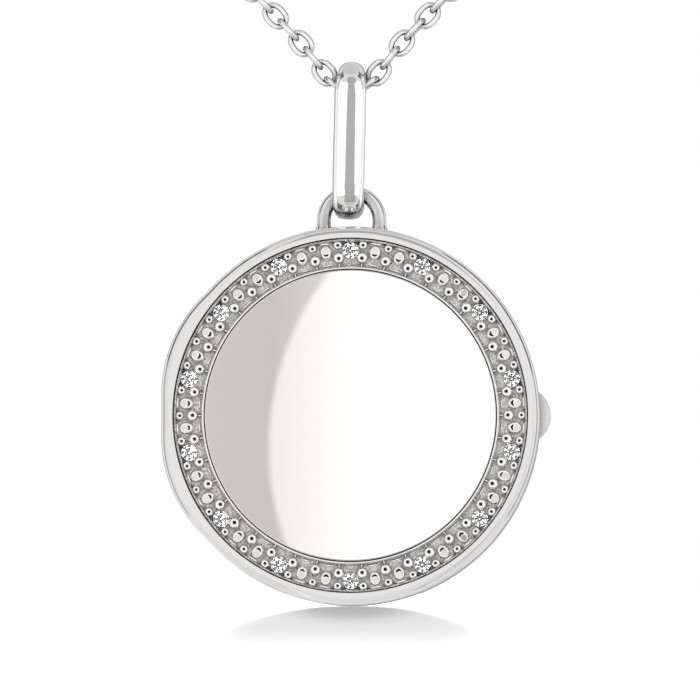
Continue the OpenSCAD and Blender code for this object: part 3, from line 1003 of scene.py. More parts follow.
@dataclass
class StoneBand:
    """The cast band in the lid's channel: lips, floor, stone seats, beads, domes and bright cuts."""

    sizes: CaseSizes
    plate_gap: float = 0.05
    rim_gap: float = 0.035
    lip_w: float = 0.12
    lip_slope: float = 0.08
    lip_h: float = 0.33
    lip_break: float = 0.02
    base_t: float = 0.43
    floor_from: float = 0.04
    floor_to: float = 0.03
    floor_sides: int = 48
    seat_r: float = 0.5
    drill_r: float = 0.12
    seat_depth: float = 0.26
    seat_break: float = 0.02
    seat_rise: float = 0.03
    inner_bead_r: float = 0.29
    outer_bead_r: float = 0.235
    inner_bead_in: float = 0.39
    outer_bead_out: float = 0.35
    bead_lift: float = 0.08
    bead_h: float = 0.175
    bead_sizes: tuple[float, float] = (0.97, 1.04)
    bead_lean: float = 0.35
    bead_leans: tuple[float, float] = (0.7, 1.3)
    bead_tilt: float = 0.12
    bead_root: float = 0.03
    bead_point: float = 0.001
    bead_sides: int = 24
    bead_steps: int = 12
    bead_top_deg: float = 87
    dome_long: float = 0.42
    dome_wide: float = 0.34
    dome_h: float = 0.3
    dome_in: float = 0.05
    dome_sides: int = 32
    dome_steps: int = 14
    dome_top_deg: float = 3
    facet_deg: float = 17.0
    facets: tuple[float, float] = (0.9, 1.1)
    facet_h: float = 0.86
    facet_out: float = 0.13
    facet_blend: float = 0.07
    outer_cut: BrightCut = BrightCut(0.46, (0.6, 0.78), 0.13, 0.08)
    inner_cut: BrightCut = BrightCut(0.33, (0.5, 0.7), 0.08, 0.06)
    bridge: BrightCut = BrightCut(0.3, (0.26, 0.26), 0.1, 0.1)
    random: np.random.Generator = field(default_factory=lambda: np.random.default_rng(14))

    def add_lips(self, sketch: Sketch) -> None:
        """Adds both lips and the underside, as one turned form without the floor."""
        size = self.sizes
        floor, top, base = size.floor_z, size.floor_z + self.lip_h, size.floor_z - self.base_t
        edge = self.lip_break
        inner, outer = size.plate_r + self.plate_gap, size.rim_in_r - self.rim_gap
        inner_foot, outer_foot = inner + self.lip_w, outer - self.lip_w
        section = (
            (inner_foot + self.lip_slope, floor), (inner_foot, top - edge), (inner_foot - edge, top),
            (inner + edge, top), (inner, top - edge), (inner, base), (outer, base), (outer, top - edge),
            (outer - edge, top), (outer_foot + edge, top), (outer_foot, top - edge),
            (outer_foot - self.lip_slope, floor))
        angles = turn_angles(size.turn_steps)
        # The seam finish, with painted shade, covers the band's walls and underside; the cut finish, with
        # painted shade, the outer lip
        looks = [0, 0, 0, 0, 2, 2, 2, 1, 1, 1, 1]
        sketch.sheet(np.array([circle(r, z, angles) for r, z in section]), looks)

    def spot(self, cell: float, radius: float) -> tuple[np.ndarray, np.ndarray, np.ndarray]:
        """A place on the band.

        Args:
            cell: Place counted clockwise from the top, in cells.
            radius: Distance from the middle of the case.
        Returns:
            The place on the floor, the direction outward and the direction along the band.
        """
        angle = self.sizes.cell_angle(cell)
        outward = np.array([math.cos(angle), math.sin(angle), 0.0])
        along = np.array([-math.sin(angle), math.cos(angle), 0.0])
        return outward * radius + np.array([0, 0, self.sizes.floor_z]), outward, along

    def add_floor(self, sketch: Sketch) -> None:
        """Adds the floor, cell by cell, with a cone and a drill hole under each stone."""
        size = self.sizes
        lip = self.lip_w + self.lip_slope
        low, high = size.plate_r + self.floor_from + lip, size.rim_in_r - self.floor_to - lip
        count = self.floor_sides
        spokes = turn_angles(count) + math.pi / count
        out, side = np.cos(spokes), np.sin(spokes)
        reach_out = (np.where(out > 0, high, low) - size.stone_ring_r) / out
        reach_side = size.stone_ring_r * math.pi / size.cells / np.abs(side)
        scale = np.minimum(reach_out, reach_side)
        radius = size.stone_ring_r + scale * out
        for cell in range(size.cells):
            middle, outward, along = self.spot(cell, size.stone_ring_r)
            turn = size.cell_angle(cell) + scale * side / size.stone_ring_r
            border = np.column_stack((
                radius * np.cos(turn), radius * np.sin(turn), np.full(count, size.floor_z)))
            if cell % 3:
                sketch.fan(sketch.add_points(border), count, middle, 1)
                continue
            rings = [border]
            for ring_r, sunk in (
                    (self.seat_r + self.seat_break, 0.0), (self.seat_r, -self.seat_break),
                    (self.seat_r, -self.seat_rise), (self.drill_r + self.seat_break, self.seat_depth),
                    (self.drill_r, self.base_t)):
                ring = middle + ring_r * (np.outer(out, outward) + np.outer(side, along))
                ring[:, 2] = size.floor_z - sunk
                rings.append(ring)
            sketch.sheet(np.array(rings), [1, 0, 0, 0, 0])

    def add_bead(self, sketch: Sketch, cell: float, ring_r: float, radius: float) -> None:
        """Adds one raised bead, a little different from its neighbours as hand work is.

        Its top is lower than a ball's and leans to the plate, as the burnisher leaves it.
        """
        middle, outward, along = self.spot(cell, ring_r)
        size = radius * self.random.uniform(*self.bead_sizes)
        foot = size - self.bead_h * radius / self.inner_bead_r + self.bead_lift
        around = turn_angles(self.bead_sides)
        tip = np.array([0.0, 0.0, 1.0]) - self.bead_lean * self.random.uniform(*self.bead_leans) * outward
        tip += along * self.random.uniform(-self.bead_tilt, self.bead_tilt)
        ring = np.outer(np.cos(around), outward) + np.outer(np.sin(around), along)
        rise = tip * self.bead_h * size / self.inner_bead_r
        rows = [middle + size * math.cos(a) * ring + (0, 0, foot) + rise * math.sin(a)
                for a in arc_steps(0, self.bead_top_deg, self.bead_steps)]
        skirt = rows[0].copy()
        skirt[:, 2] = self.sizes.floor_z - self.bead_root
        first = sketch.sheet(np.array([skirt] + rows))
        point = rows[-1].mean(axis=0) + tip * self.bead_point
        sketch.fan(first + len(rows) * len(around), len(around), point)

    def add_dome(self, sketch: Sketch, cell: int) -> None:
        """Adds one low dome, whose outer part was flattened by the burnisher."""
        middle, outward, along = self.spot(cell, self.sizes.stone_ring_r - self.dome_in)
        around = turn_angles(self.dome_sides)
        facet = math.tan(math.radians(self.facet_deg * self.random.uniform(*self.facets)))
        rows = []
        for share in np.sin(arc_steps(90, self.dome_top_deg, self.dome_steps)):
            u = share * np.cos(around) * self.dome_long
            v = share * np.sin(around) * self.dome_wide
            cap = self.dome_h * math.sqrt(max(0.0, 1 - share ** 2))
            plane = self.facet_h * self.dome_h - facet * (u + self.facet_out)
            height = rounded_min(np.full(len(around), cap), plane, self.facet_blend)
            rows.append(middle + np.outer(u, outward) + np.outer(v, along) + np.outer(height, [0, 0, 1]))
        first = sketch.sheet(np.array(rows))
        sketch.fan(first + (len(rows) - 1) * len(around), len(around), rows[-1].mean(axis=0))

    def add_cuts(self, sketch: Sketch) -> None:
        """Adds the bright cuts along both lips and the bridges from the beads to the inner lip."""
        size = self.sizes
        for cell in range(size.cells):
            if cell % 3:
                for cut, from_r in ((self.outer_cut, size.stone_ring_r), (self.inner_cut, size.plate_r)):
                    middle, _, along = self.spot(cell, from_r + cut.out)
                    cut.add(sketch, middle, along, self.random.uniform(*cut.lengths))
            middle, outward, _ = self.spot(cell + 0.5, size.plate_r + self.bridge.out)
            self.bridge.add(sketch, middle, outward, self.bridge.lengths[0])

    def build(
        self,
        polished: bpy.types.Material,
        cut: bpy.types.Material,
        seam: bpy.types.Material,
    ) -> list[bpy.types.Object]:
        """Makes the band, as its floor with the lips and the bead work on it."""
        size = self.sizes
        floor = Sketch()
        self.add_lips(floor)
        self.add_floor(floor)
        beads = Sketch()
        for cell in range(size.cells):
            self.add_bead(beads, cell + 0.5, size.stone_ring_r - self.inner_bead_in, self.inner_bead_r)
            self.add_bead(beads, cell + 0.5, size.stone_ring_r + self.outer_bead_out, self.outer_bead_r)
            if cell % 3:
                self.add_dome(beads, cell)
        self.add_cuts(floor)
        return [
            dress(sketch.make(name, from_case, sharp_deg=50), [polished, cut, seam],
                  Body.LID, ["pave_ring"])
            for name, sketch in (("stone_band", floor), ("bead_work", beads))]


@dataclass
class Bail:
    """The long bail: a strip with a crowned face, bent into a closed loop."""

    width: float = (BAIL_HIGH.x - BAIL_LOW.x) / MM
    depth: float = (BAIL_HIGH.y - BAIL_LOW.y) / MM
    low_z: float = BAIL_LOW.z / MM
    top_z: float = BAIL_HIGH.z / MM + 0.1
    strip_t: float = 0.9
    dish: float = 0.2
    side_h: float = 0.36
    slope_h: float = 0.66
    slope_out: float = 0.04
    face_share: float = 0.67
    face_dome: float = 0.12
    crease_r: float = 0.05
    face_in: float = 0.02
    dish_in: float = 0.04
    lean_deg: float = 1.3
    crown_change: float = 0.018
    narrow_top: float = 0.15
    narrow_low: float = 0.04
    bend_steps: int = 56
    face_steps: int = 25
    dish_steps: int = 15

    def section(self, face_dome: float) -> np.ndarray:
        """Section of the strip: x across it, y from its inside to its face.

        Args:
            face_dome: How far the face's middle stands above its edges.
        Returns:
            The section's points as count by 2.
        """
        half = self.width / 2
        face = self.face_share * half
        dish_r, face_r = dome_radius(half, self.dish), dome_radius(face, face_dome)
        right = round_corners((
            (half, self.dish), (half, self.side_h * self.strip_t),
            ((half + face) / 2 + self.slope_out, self.slope_h * self.strip_t),
            (face, self.strip_t - face_dome)), self.crease_r)
        front = [(x, self.strip_t - face_r + math.sqrt(face_r ** 2 - x * x))
                 for x in np.linspace(face - self.face_in, self.face_in - face, self.face_steps)]
        left = [(-x, y) for x, y in reversed(right)]
        inside = [(x, dish_r - math.sqrt(dish_r ** 2 - x * x))
                  for x in np.linspace(self.dish_in - half, half - self.dish_in, self.dish_steps)]
        return np.array(right + front + left + inside)

    def build(self, polished: bpy.types.Material) -> bpy.types.Object:
        """Makes the bail: a bend above, a bend below, and the straight sides between them."""
        half, count = self.depth / 2, self.bend_steps
        bend_r = half - self.strip_t
        stations = [(self.top_z - half, a, 1, self.narrow_top) for a in arc_steps(0, 180, count)]
        stations += [(self.low_z + half, a, -1, self.narrow_low) for a in arc_steps(180, 360, count)]
        rows = []
        for centre_z, a, change, narrow in stations:
            section = self.section(self.face_dome + change * self.crown_change)
            reach = bend_r + section[:, 1]
            rows.append(np.column_stack((
                section[:, 0] * (1 - narrow * math.sin(a) ** 2),
                HANG_Y / MM + reach * math.cos(a), centre_z + reach * math.sin(a))))
        points = np.array(rows)
        lean = math.radians(self.lean_deg)
        pivot_z = self.top_z - self.strip_t
        x, z = points[..., 0].copy(), points[..., 2] - pivot_z
        points[..., 0] = x * math.cos(lean) + z * math.sin(lean)
        points[..., 2] = pivot_z + z * math.cos(lean) - x * math.sin(lean)
        sketch = Sketch()
        sketch.sheet(points, loop=True)
        piece = sketch.make("bail_loop", from_object, sharp_deg=60)
        return dress(piece, [polished], Body.BAIL, ["bail"])


def round_corners(corners: Sequence[tuple[float, float]], radius: float) -> list[tuple[float, float]]:
    """Rounds the inner corners of an open line.

    Args:
        corners: The line's points.
        radius: Length that each rounding takes of the two sides.
    Returns:
        The line with four points in the place of each inner corner.
    """
    line = [np.array(c) for c in corners]
    rounded = [corners[0]]
    for before, here, after in zip(line, line[1:], line[2:]):
        start = here + (before - here) / np.linalg.norm(before - here) * radius
        end = here + (after - here) / np.linalg.norm(after - here) * radius
        for t in (0.0, 0.33, 0.67, 1.0):
            point = (1 - t) ** 2 * start + 2 * t * (1 - t) * here + t ** 2 * end
            rounded.append((float(point[0]), float(point[1])))
    return rounded + [corners[-1]]


@dataclass
class CableChain:
    """The cable chain: oval links of round wire, each turned a quarter from the last."""

    link_long: float = 1.72
    link_wide: float = 1.3
    wire_d: float = 0.325
    wire_sides: int = 10
    link_steps: int = 26
    straight: float = 0.12
    pitch: float = 1.075
    clasp_gap: float = 0.6
    roll_jitter_deg: float = 4.0
    seed: int = 30
    curve_steps: int = 12
    route_mm: tuple[tuple[float, float, float], ...] = (
        (1.54, -62, -89.18),
        (2.75, -62, -87.64),
        (4.2, -62, -86.07),
        (8, -62, -82),
        (15, -61.5, -74),
        (22, -60, -66.5),
        (29, -58, -59),
        (36, -54.5, -51.5),
        (42.5, -50, -44),
        (48.5, -44.5, -37),
        (54, -37.5, -30.5),
        (58.5, -29, -24.5),
        (62, -19.5, -19),
        (64, -9, -14),
        (64.5, 2, -9.5),
        (63, 12.5, -6),
        (59.5, 22.5, -3),
        (54.5, 32, -0.5),
        (47.5, 40, 1),
        (39.5, 46.5, 2),
        (30.5, 51.5, 3),
        (21, 54.8, 3.5),
        (12, 56.6, 4),
        (4, 57, 4))
    slack_mm: tuple[tuple[float, float, float], ...] = ((0, -62, -90.2), (0.86, -62, -89.9))

    def link(self) -> np.ndarray:
        """One link at the origin, long along x and flat in the x-y plane, as steps by sides by 3."""
        turn = turn_angles(self.link_steps)
        flat = np.zeros(len(turn))
        long_r, wide_r = (self.link_long - self.wire_d) / 2, (self.link_wide - self.wire_d) / 2
        path = np.column_stack((
            (long_r - self.straight) * np.cos(turn) + self.straight * np.tanh(4 * np.cos(turn)),
            wide_r * np.sin(turn), flat))
        ahead = np.roll(path, -1, axis=0) - np.roll(path, 1, axis=0)
        ahead /= np.linalg.norm(ahead, axis=1)[:, None]
        out = np.column_stack((ahead[:, 1], -ahead[:, 0], flat))
        around = turn_angles(self.wire_sides)[None, :, None]
        ring = np.cos(around) * out[:, None, :] + np.sin(around) * np.array([0.0, 0.0, 1.0])
        return path[:, None, :] + self.wire_d / 2 * ring

    def places(self) -> tuple[np.ndarray, np.ndarray]:
        """Middles and headings of the links of the right half, from the bail to the clasp."""
        smooth = catmull(np.array(self.route_mm), self.curve_steps)
        steps = np.linalg.norm(np.diff(smooth, axis=0), axis=1)
        along = np.concatenate(([0.0], np.cumsum(steps)))
        length = along[-1] - self.clasp_gap
        marks = np.linspace(0.0, length, round(length / self.pitch) + 1)
        spaced = np.column_stack([np.interp(marks, along, smooth[:, i]) for i in range(3)])
        middles = np.concatenate((np.array(self.slack_mm), spaced))
        ahead = np.gradient(middles, axis=0)
        ahead[0] = (1.0, 0.0, 0.0)
        ahead /= np.linalg.norm(ahead, axis=1)[:, None]
        return middles, ahead

    def half(self, side: int) -> Sketch:
        """Draws one half of the chain.

        Args:
            side: 1 for the half on the right, which also has the lowest link, and -1 for the left.
        Returns:
            The sketch with all its links.
        """
        flip = np.array([side, 1.0, 1.0])
        random = np.random.default_rng(self.seed + side)
        link = self.link()
        flat = np.array([0.0, -1.0, 0.0])
        sketch = Sketch()
        for number, (middle, ahead) in enumerate(zip(*self.places())):
            heading = ahead * flip
            flat = flat - heading * (flat @ heading)
            flat /= np.linalg.norm(flat)
            if number == 0 and side < 0:
                continue
            roll = math.radians(90.0 * (number % 2) + random.uniform(-1, 1) * self.roll_jitter_deg)
            normal = math.cos(roll) * flat + math.sin(roll) * np.cross(heading, flat)
            basis = np.array([heading, np.cross(normal, heading), normal])
            sketch.sheet(link @ basis + middle * flip, loop=True)
        return sketch

    def build(self, silver: bpy.types.Material) -> list[bpy.types.Object]:
        """Makes both halves of the chain."""
        return [
            dress(self.half(side).make(name, from_object, sharp_deg=180), [silver],
                  Body.NECKLACE, ["chain"])
            for side, name in ((1, "chain_links_right"), (-1, "chain_links_left"))]


def catmull(points: np.ndarray, steps: int) -> np.ndarray:
    """A smooth curve through points.

    Args:
        points: The points as count by 3.
        steps: Pieces between two points.
    Returns:
        The curve's points.
    """
    padded = np.vstack((2 * points[0] - points[1], points, 2 * points[-1] - points[-2]))
    curve = []
    for a, b, c, d in zip(padded, padded[1:], padded[2:], padded[3:]):
        for t in np.linspace(0, 1, steps, endpoint=False):
            curve.append(0.5 * (2 * b + (c - a) * t + (2 * a - 5 * b + 4 * c - d) * t ** 2
                                + (3 * b - a - 3 * c + d) * t ** 3))
    curve.append(points[-1])
    return np.array(curve)


class Grid(Enum):
    """How a patch of the studio is measured, as seen from the locket."""

    TURN = "turn"
    LEAN = "lean"
    RING = "ring"
    CROWN = "crown"


@dataclass(frozen=True)
class StudioPatch:
    """A lighter or darker patch of the studio, as the silver reflects it.

    Angles are in degrees. TURN measures across to the right of the front and up from level,
    LEAN measures off the upright middle plane and along it from the front, over the top, RING
    measures away from the front and up from level, and CROWN away from a place 14 behind the
    zenith and up from level.
    """

    grid: Grid
    first: tuple[float, float]
    second: tuple[float, float]
    soft: float
    radiance: float
    mirrored: bool = False


class Lit(Enum):
    """The groups of pieces that a panel can light alone."""

    PLATE = "plate"
    RIM = "rim"
    EDGES = "edges"
    BACK = "back"
    FLOOR = "floor"
    BEADS = "beads"
    STONES = "stones"
    CHAIN = "chain"
    BAIL = "bail"


@dataclass(frozen=True)
class Panel:
    """A panel far from the locket, which lights and shows in one group of pieces.

    Its middle is given across and up and its half sizes are angles too, all in degrees. It
    fades over soft, a share of its size, is open inside the hole's angle, and grows over the
    ramp, from the share of its width where it is dark to the share where it is full.
    """

    name: str
    lit: Lit
    middle: tuple[float, float]
    half: tuple[float, float]
    radiance: float
    oval: bool = True
    soft: float = 0.0
    hole: float = 0.0
    ramp: tuple[float, float] = (0.0, 0.0)
    tint: str = "#FFFFFF"


@dataclass(frozen=True)
class Softbox:
    """A softbox behind the locket, so many degrees up, with its distance and size in metres."""

    name: str
    up: float
    away: float
    size: tuple[float, float]
    radiance: float


def area_light(
    name: str,
    size: tuple[float, float],
    radiance: float,
    oval: bool = False,
) -> bpy.types.Light:
    """Makes an area light.

    Args:
        name: The light's name.
        size: Its width and height in metres.
        radiance: How bright its face is, where the white background is 1.
        oval: Whether it is an ellipse and not a rectangle.
    Returns:
        The light, not yet in the scene.
    """
    light = bpy.data.lights.new(name, "AREA")
    light.shape = "ELLIPSE" if oval else "RECTANGLE"
    light.size, light.size_y = size
    light.energy = radiance * math.pi * size[0] * size[1] * (math.pi / 4 if oval else 1.0)
    return light


def hang(light: bpy.types.Light, way: Vector, away: float, height: float) -> bpy.types.Object:
    """Hangs a lamp so that it points at a place in the locket's upright middle line.

    Args:
        light: The light to hang.
        way: Unit vector from the place to the lamp.
        away: Distance between them in metres.
        height: The place's height in metres.
    Returns:
        The lamp, which the camera doesn't see.
    """
    lamp = link_object(light.name, light)
    lamp.location = Vector((0.0, HANG_Y, height)) + away * way
    lamp.rotation_euler = (-way).to_track_quat("-Z", "Y").to_euler()
    lamp.visible_camera = False
    return lamp


def light_only(lamp: bpy.types.Object, pieces: Sequence[bpy.types.Object]) -> bpy.types.Collection:
    """Makes a lamp light only some pieces, and returns the collection that they are in."""
    group = bpy.data.collections.new(lamp.name + "_receivers")
    for piece in pieces:
        group.objects.link(piece)
    lamp.light_linking.receiver_collection = group
    return group


@dataclass
class Studio:
    """White studio: the sky of soft light, the panels, the paper and the camera.

    The sky is what the silver reflects: white with lighter and darker patches, drapes that vary
    it a little, and the dark lens in a round opening. The fill is the light that matt things
    get. Panels stand in front of the sky for single groups of pieces. Angles are in degrees.
    """

    view_across: float = 1.9
    view_up: float = -3.0
    distance_mm: float = 600.0
    frame_mm: float = 39.88
    aim_mm: tuple[float, float] = (-0.092, 3.827)
    sensor_mm: float = 36.0
    clip_m: tuple[float, float] = (0.005, 10.0)
    lift: float = 0.461
    floor_gap_mm: float = 0.62
    floor_crest_mm: float = 4.0
    floor_tilt: float = 17.5
    floor_bend_mm: float = 3.0
    floor_bend_steps: int = 12
    floor_behind_mm: float = 800.0
    floor_front_mm: float = 300.0
    floor_half_w_mm: float = 1200.0
    white: float = 0.86
    fill: float = 0.5
    panel_m: float = 2.0
    panel_step_m: float = 0.03
    lens_r: float = 27.0
    lens_soft: float = 0.5
    lens: float = 0.03
    wide_r: float = 64.0
    hole_edge: float = 0.004
    crown_spot: tuple[float, float] = (180.0, 76.0)
    drape_scale: float = 1.3
    drape_span: tuple[float, float] = (0.3, 0.7)
    drape_dark: float = 0.86
    drape_light: float = 1.04
    softboxes: tuple[Softbox, ...] = (
        Softbox("softbox_above", 75.0, 0.45, (0.4, 0.24), 6.6),
        Softbox("softbox_behind", 45.0, 0.6, (0.2, 0.12), 100.0))
    sparks: tuple[tuple[float, float], ...] = (
        (-48.0, 12.0), (42.0, 34.0), (18.0, -44.0), (-20.0, 46.0), (0.0, 12.0), (60.0, 0.0),
        (-34.0, -30.0), (10.0, 62.0), (34.0, -10.0))
    patches: tuple[StudioPatch, ...] = (
        StudioPatch(Grid.TURN, (-180, 180), (-90, -38), 8, 0.8),
        StudioPatch(Grid.TURN, (136, 190), (-50, 30), 6, 0.42, True),
        StudioPatch(Grid.TURN, (152, 190), (26, 95), 3, 0.68, True),
        StudioPatch(Grid.CROWN, (-1, 28), (-90, 95), 2, 0.68),
        StudioPatch(Grid.RING, (77, 99), (-32, 62), 4, 0.42),
        StudioPatch(Grid.RING, (77, 103), (16, 62), 4, 0.18),
        StudioPatch(Grid.LEAN, (-14, 22), (0, 64), 2, 0.47),
        StudioPatch(Grid.LEAN, (-14, 22), (-78, 0), 2, 0.47))

    def panels(self) -> list[Panel]:
        """All panels. Those in the mirror place stand where faces turned to the front reflect them."""
        up = -self.view_up
        mirror = (-self.view_across, up)
        lens, wide = (self.lens_r, self.lens_r), (self.wide_r, self.wide_r)
        return [
            Panel("plate_grey", Lit.PLATE, mirror, lens, 0.6, tint="#FFFAFA"),
            Panel("plate_side", Lit.PLATE, (-19.0, up), (10.0, 30.0), 0.06, oval=False, ramp=(1.0, 0.2)),
            Panel("plate_white", Lit.PLATE, (20.1, -0.95), (31.5, 31.5), 0.33, soft=0.02),
            Panel("plate_ramp", Lit.PLATE, (9.5, up), (20.0, 30.0), 0.25, oval=False, ramp=(0.0, 0.3)),
            Panel("rim", Lit.RIM, mirror, lens, 0.83),
            Panel("rim_under", Lit.RIM, (4.0, -51.0), (18.0, 27.0), 0.36, oval=False),
            Panel("edges_behind", Lit.EDGES, (180.0, -28.0), (40.0, 20.0), 0.4, oval=False),
            Panel("back", Lit.BACK, mirror, lens, 0.62),
            Panel("floor", Lit.FLOOR, mirror, lens, 1.0),
            Panel("bead_wide", Lit.BEADS, mirror, wide, 0.4, hole=42.0),
            Panel("bead_ring", Lit.BEADS, mirror, (30.5, 30.5), 0.6, hole=self.lens_r),
            Panel("bead_over", Lit.BEADS, (4.0, 39.0), (17.0, 13.0), 0.39, oval=False),
            Panel("bead_under", Lit.BEADS, (4.0, -39.0), (17.0, 13.0), 0.39, oval=False),
            Panel("stone", Lit.STONES, mirror, lens, 0.15),
            Panel("stone_wide", Lit.STONES, mirror, wide, 0.4, hole=self.lens_r),
            Panel("chain", Lit.CHAIN, mirror, lens, 1.02),
            Panel("chain_wide", Lit.CHAIN, mirror, wide, 0.2, hole=self.lens_r),
            Panel("bail", Lit.BAIL, mirror, lens, 0.45),
            Panel("bail_left", Lit.BAIL, (-38.0, up), (24.0, 40.0), 0.65, oval=False),
            Panel("bail_right", Lit.BAIL, (46.0, up), (24.0, 40.0), 0.65, oval=False),
            Panel("bail_far_left", Lit.BAIL, (-88.0, up), (22.0, 40.0), 0.5, oval=False),
            Panel("bail_far_right", Lit.BAIL, (92.0, up), (22.0, 40.0), 0.5, oval=False),
            *(Panel(f"spark_{number}", Lit.STONES, middle, (7.0, 7.0), 9.0)
              for number, middle in enumerate(self.sparks))]

    def sky(self) -> None:
        """Builds the studio that the silver reflects, the fill light and the white background."""
        world = bpy.data.worlds.new("studio")
        world.use_nodes = True
        bpy.context.scene.world = world
        tree = world.node_tree
        tree.nodes.clear()
        way = add_node(tree, "TexCoord").outputs["Generated"]
        grids = self.grids(tree, way)
        tone: object = self.white
        for patch in self.patches:
            first, second = grids[patch.grid]
            if patch.mirrored:
                first = add_node(tree, "Math", {0: first}, operation="ABSOLUTE").outputs[0]
            wide = self.window(tree, first, patch.first, patch.soft)
            tall = self.window(tree, second, patch.second, patch.soft)
            share = add_node(tree, "Math", {0: wide, 1: tall}, operation="MULTIPLY")
            tone = add_node(tree, "Mix", {0: share.outputs[0], 2: tone, 3: patch.radiance}).outputs[0]
        drapes = add_node(tree, "TexNoise", {"Vector": way, "Scale": self.drape_scale, "Detail": 1.0})
        drapes = add_node(tree, "MapRange", {
            "Value": drapes.outputs["Fac"], "From Min": self.drape_span[0], "From Max": self.drape_span[1],
            "To Min": self.drape_dark, "To Max": self.drape_light})
        tone = add_node(tree, "Math", {
            0: tone, 1: drapes.outputs["Result"]}, operation="MULTIPLY").outputs[0]
        lens = add_node(tree, "VectorMath", {
            0: way, 1: self.direction(-self.view_across, -self.view_up)}, operation="DOT_PRODUCT")
        soft = self.lens_soft
        dark, full = (math.cos(math.radians(self.lens_r + off)) for off in (soft, -soft))
        share = add_node(tree, "MapRange", {
            "Value": lens.outputs["Value"], "From Min": dark, "From Max": full,
        }, interpolation_type="SMOOTHSTEP")
        tone = add_node(tree, "Mix", {0: share.outputs["Result"], 2: tone, 3: self.lens}).outputs[0]
        path = add_node(tree, "LightPath")
        tone = add_node(tree, "Mix", {0: path.outputs["Is Diffuse Ray"], 2: tone, 3: self.fill}).outputs[0]
        tone = add_node(tree, "Mix", {0: path.outputs["Is Camera Ray"], 2: tone, 3: 1.0}).outputs[0]
        glow = add_node(tree, "Background", {"Color": (1.0, 1.0, 1.0, 1.0), "Strength": tone})
        add_node(tree, "OutputWorld", {"Surface": glow.outputs[0]})

    def grids(
        self,
        tree: bpy.types.NodeTree,
        way: bpy.types.NodeSocket,
    ) -> dict[Grid, tuple[bpy.types.NodeSocket, bpy.types.NodeSocket]]:
        """Works out both angles of each grid for the direction that a ray leaves in."""
        parts = add_node(tree, "SeparateXYZ", {0: way})
        right, high = parts.outputs["X"], parts.outputs["Z"]
        front = add_node(tree, "Math", {0: parts.outputs["Y"], 1: -1.0}, operation="MULTIPLY").outputs[0]

        def angle(operation: str, *values: bpy.types.NodeSocket) -> bpy.types.NodeSocket:
            """An inverse function of one or two values, in degrees."""
            radians = add_node(tree, "Math", dict(enumerate(values)), operation=operation)
            return add_node(tree, "Math", {0: radians.outputs[0]}, operation="DEGREES").outputs[0]

        up = angle("ARCSINE", high)
        crown = add_node(tree, "VectorMath", {
            0: way, 1: self.direction(*self.crown_spot)}, operation="DOT_PRODUCT")
        return {
            Grid.CROWN: (angle("ARCCOSINE", crown.outputs["Value"]), up),
            Grid.TURN: (angle("ARCTAN2", right, front), up),
            Grid.LEAN: (angle("ARCSINE", right), angle("ARCTAN2", high, front)),
            Grid.RING: (angle("ARCCOSINE", front), up)}

    @staticmethod
    def window(
        tree: bpy.types.NodeTree,
        value: bpy.types.NodeSocket,
        span: tuple[float, float],
        soft: float,
    ) -> bpy.types.NodeSocket:
        """1 where the value lies in the span and 0 outside it, over a soft edge."""
        middle = (span[0] + span[1]) / 2
        half = (span[1] - span[0]) / 2
        off = add_node(tree, "Math", {0: value, 1: middle}, operation="SUBTRACT")
        off = add_node(tree, "Math", {0: off.outputs[0]}, operation="ABSOLUTE")
        return add_node(tree, "MapRange", {
            "Value": off.outputs[0], "From Min": half + soft / 2, "From Max": half - soft / 2,
        }, interpolation_type="SMOOTHSTEP").outputs["Result"]

    @staticmethod
    def direction(across_deg: float, up_deg: float) -> Vector:
        """Unit vector from the locket that leads so far to the right of the front and so far up."""
        across, up = math.radians(across_deg), math.radians(up_deg)
        return Vector((math.sin(across) * math.cos(up), -math.cos(across) * math.cos(up), math.sin(up)))

    def light_pieces(self, groups: dict[Lit, Sequence[bpy.types.Object]]) -> None:
        """Stands each panel a little further away, since at one distance they would hide each other."""
        for row, panel in enumerate(self.panels()):
            self.add_panel(panel, groups[panel.lit], self.panel_m + self.panel_step_m * row)

    def add_panel(self, panel: Panel, lit: Sequence[bpy.types.Object], away: float) -> None:
        """Stands one panel.

        Args:
            panel: Where it stands, how large and how bright it is.
            lit: The pieces that see it.
            away: Its distance in metres.
        """
        width, height = (2 * away * math.tan(math.radians(half)) for half in panel.half)
        light = area_light(panel.name + "_panel", (width, height), panel.radiance, panel.oval)
        light.color = linear(panel.tint)[:3]
        if panel.soft or panel.hole or any(panel.ramp):
            self.grade(light, panel)
        light_only(hang(light, self.direction(*panel.middle), away, CASE_Z), lit)

    def grade(self, light: bpy.types.Light, panel: Panel) -> None:
        """Makes a panel fade at its edge, stay open in its middle or grow across its width."""
        light.use_nodes = True
        tree = light.node_tree
        place = add_node(tree, "NewGeometry").outputs["Parametric"]
        if any(panel.ramp):
            parts = add_node(tree, "SeparateXYZ", {0: place})
            share = add_node(tree, "MapRange", {
                "Value": parts.outputs["X"], "From Min": panel.ramp[0], "From Max": panel.ramp[1]})
        else:
            spot = add_node(tree, "VectorMath", {0: place, 1: (0.5, 0.5, 0.0)}, operation="SUBTRACT")
            reach = add_node(tree, "VectorMath", {0: spot.outputs[0]}, operation="LENGTH")
            hole = math.tan(math.radians(panel.hole)) / math.tan(math.radians(panel.half[0])) / 2
            dark, full = (hole, hole + self.hole_edge) if panel.hole else (0.5, 0.5 - panel.soft)
            share = add_node(tree, "MapRange", {
                "Value": reach.outputs["Value"], "From Min": dark, "From Max": full,
            }, interpolation_type="SMOOTHSTEP")
        tree.links.new(share.outputs["Result"], tree.nodes["Emission"].inputs["Strength"])

    def hang_softboxes(self) -> None:
        """Hangs the wide softbox above and the low one behind, which cut the shadow on the paper."""
        for box in self.softboxes:
            light = area_light(box.name, box.size, box.radiance)
            hang(light, self.direction(180.0, box.up), box.away, LID_LOW.z).visible_glossy = False

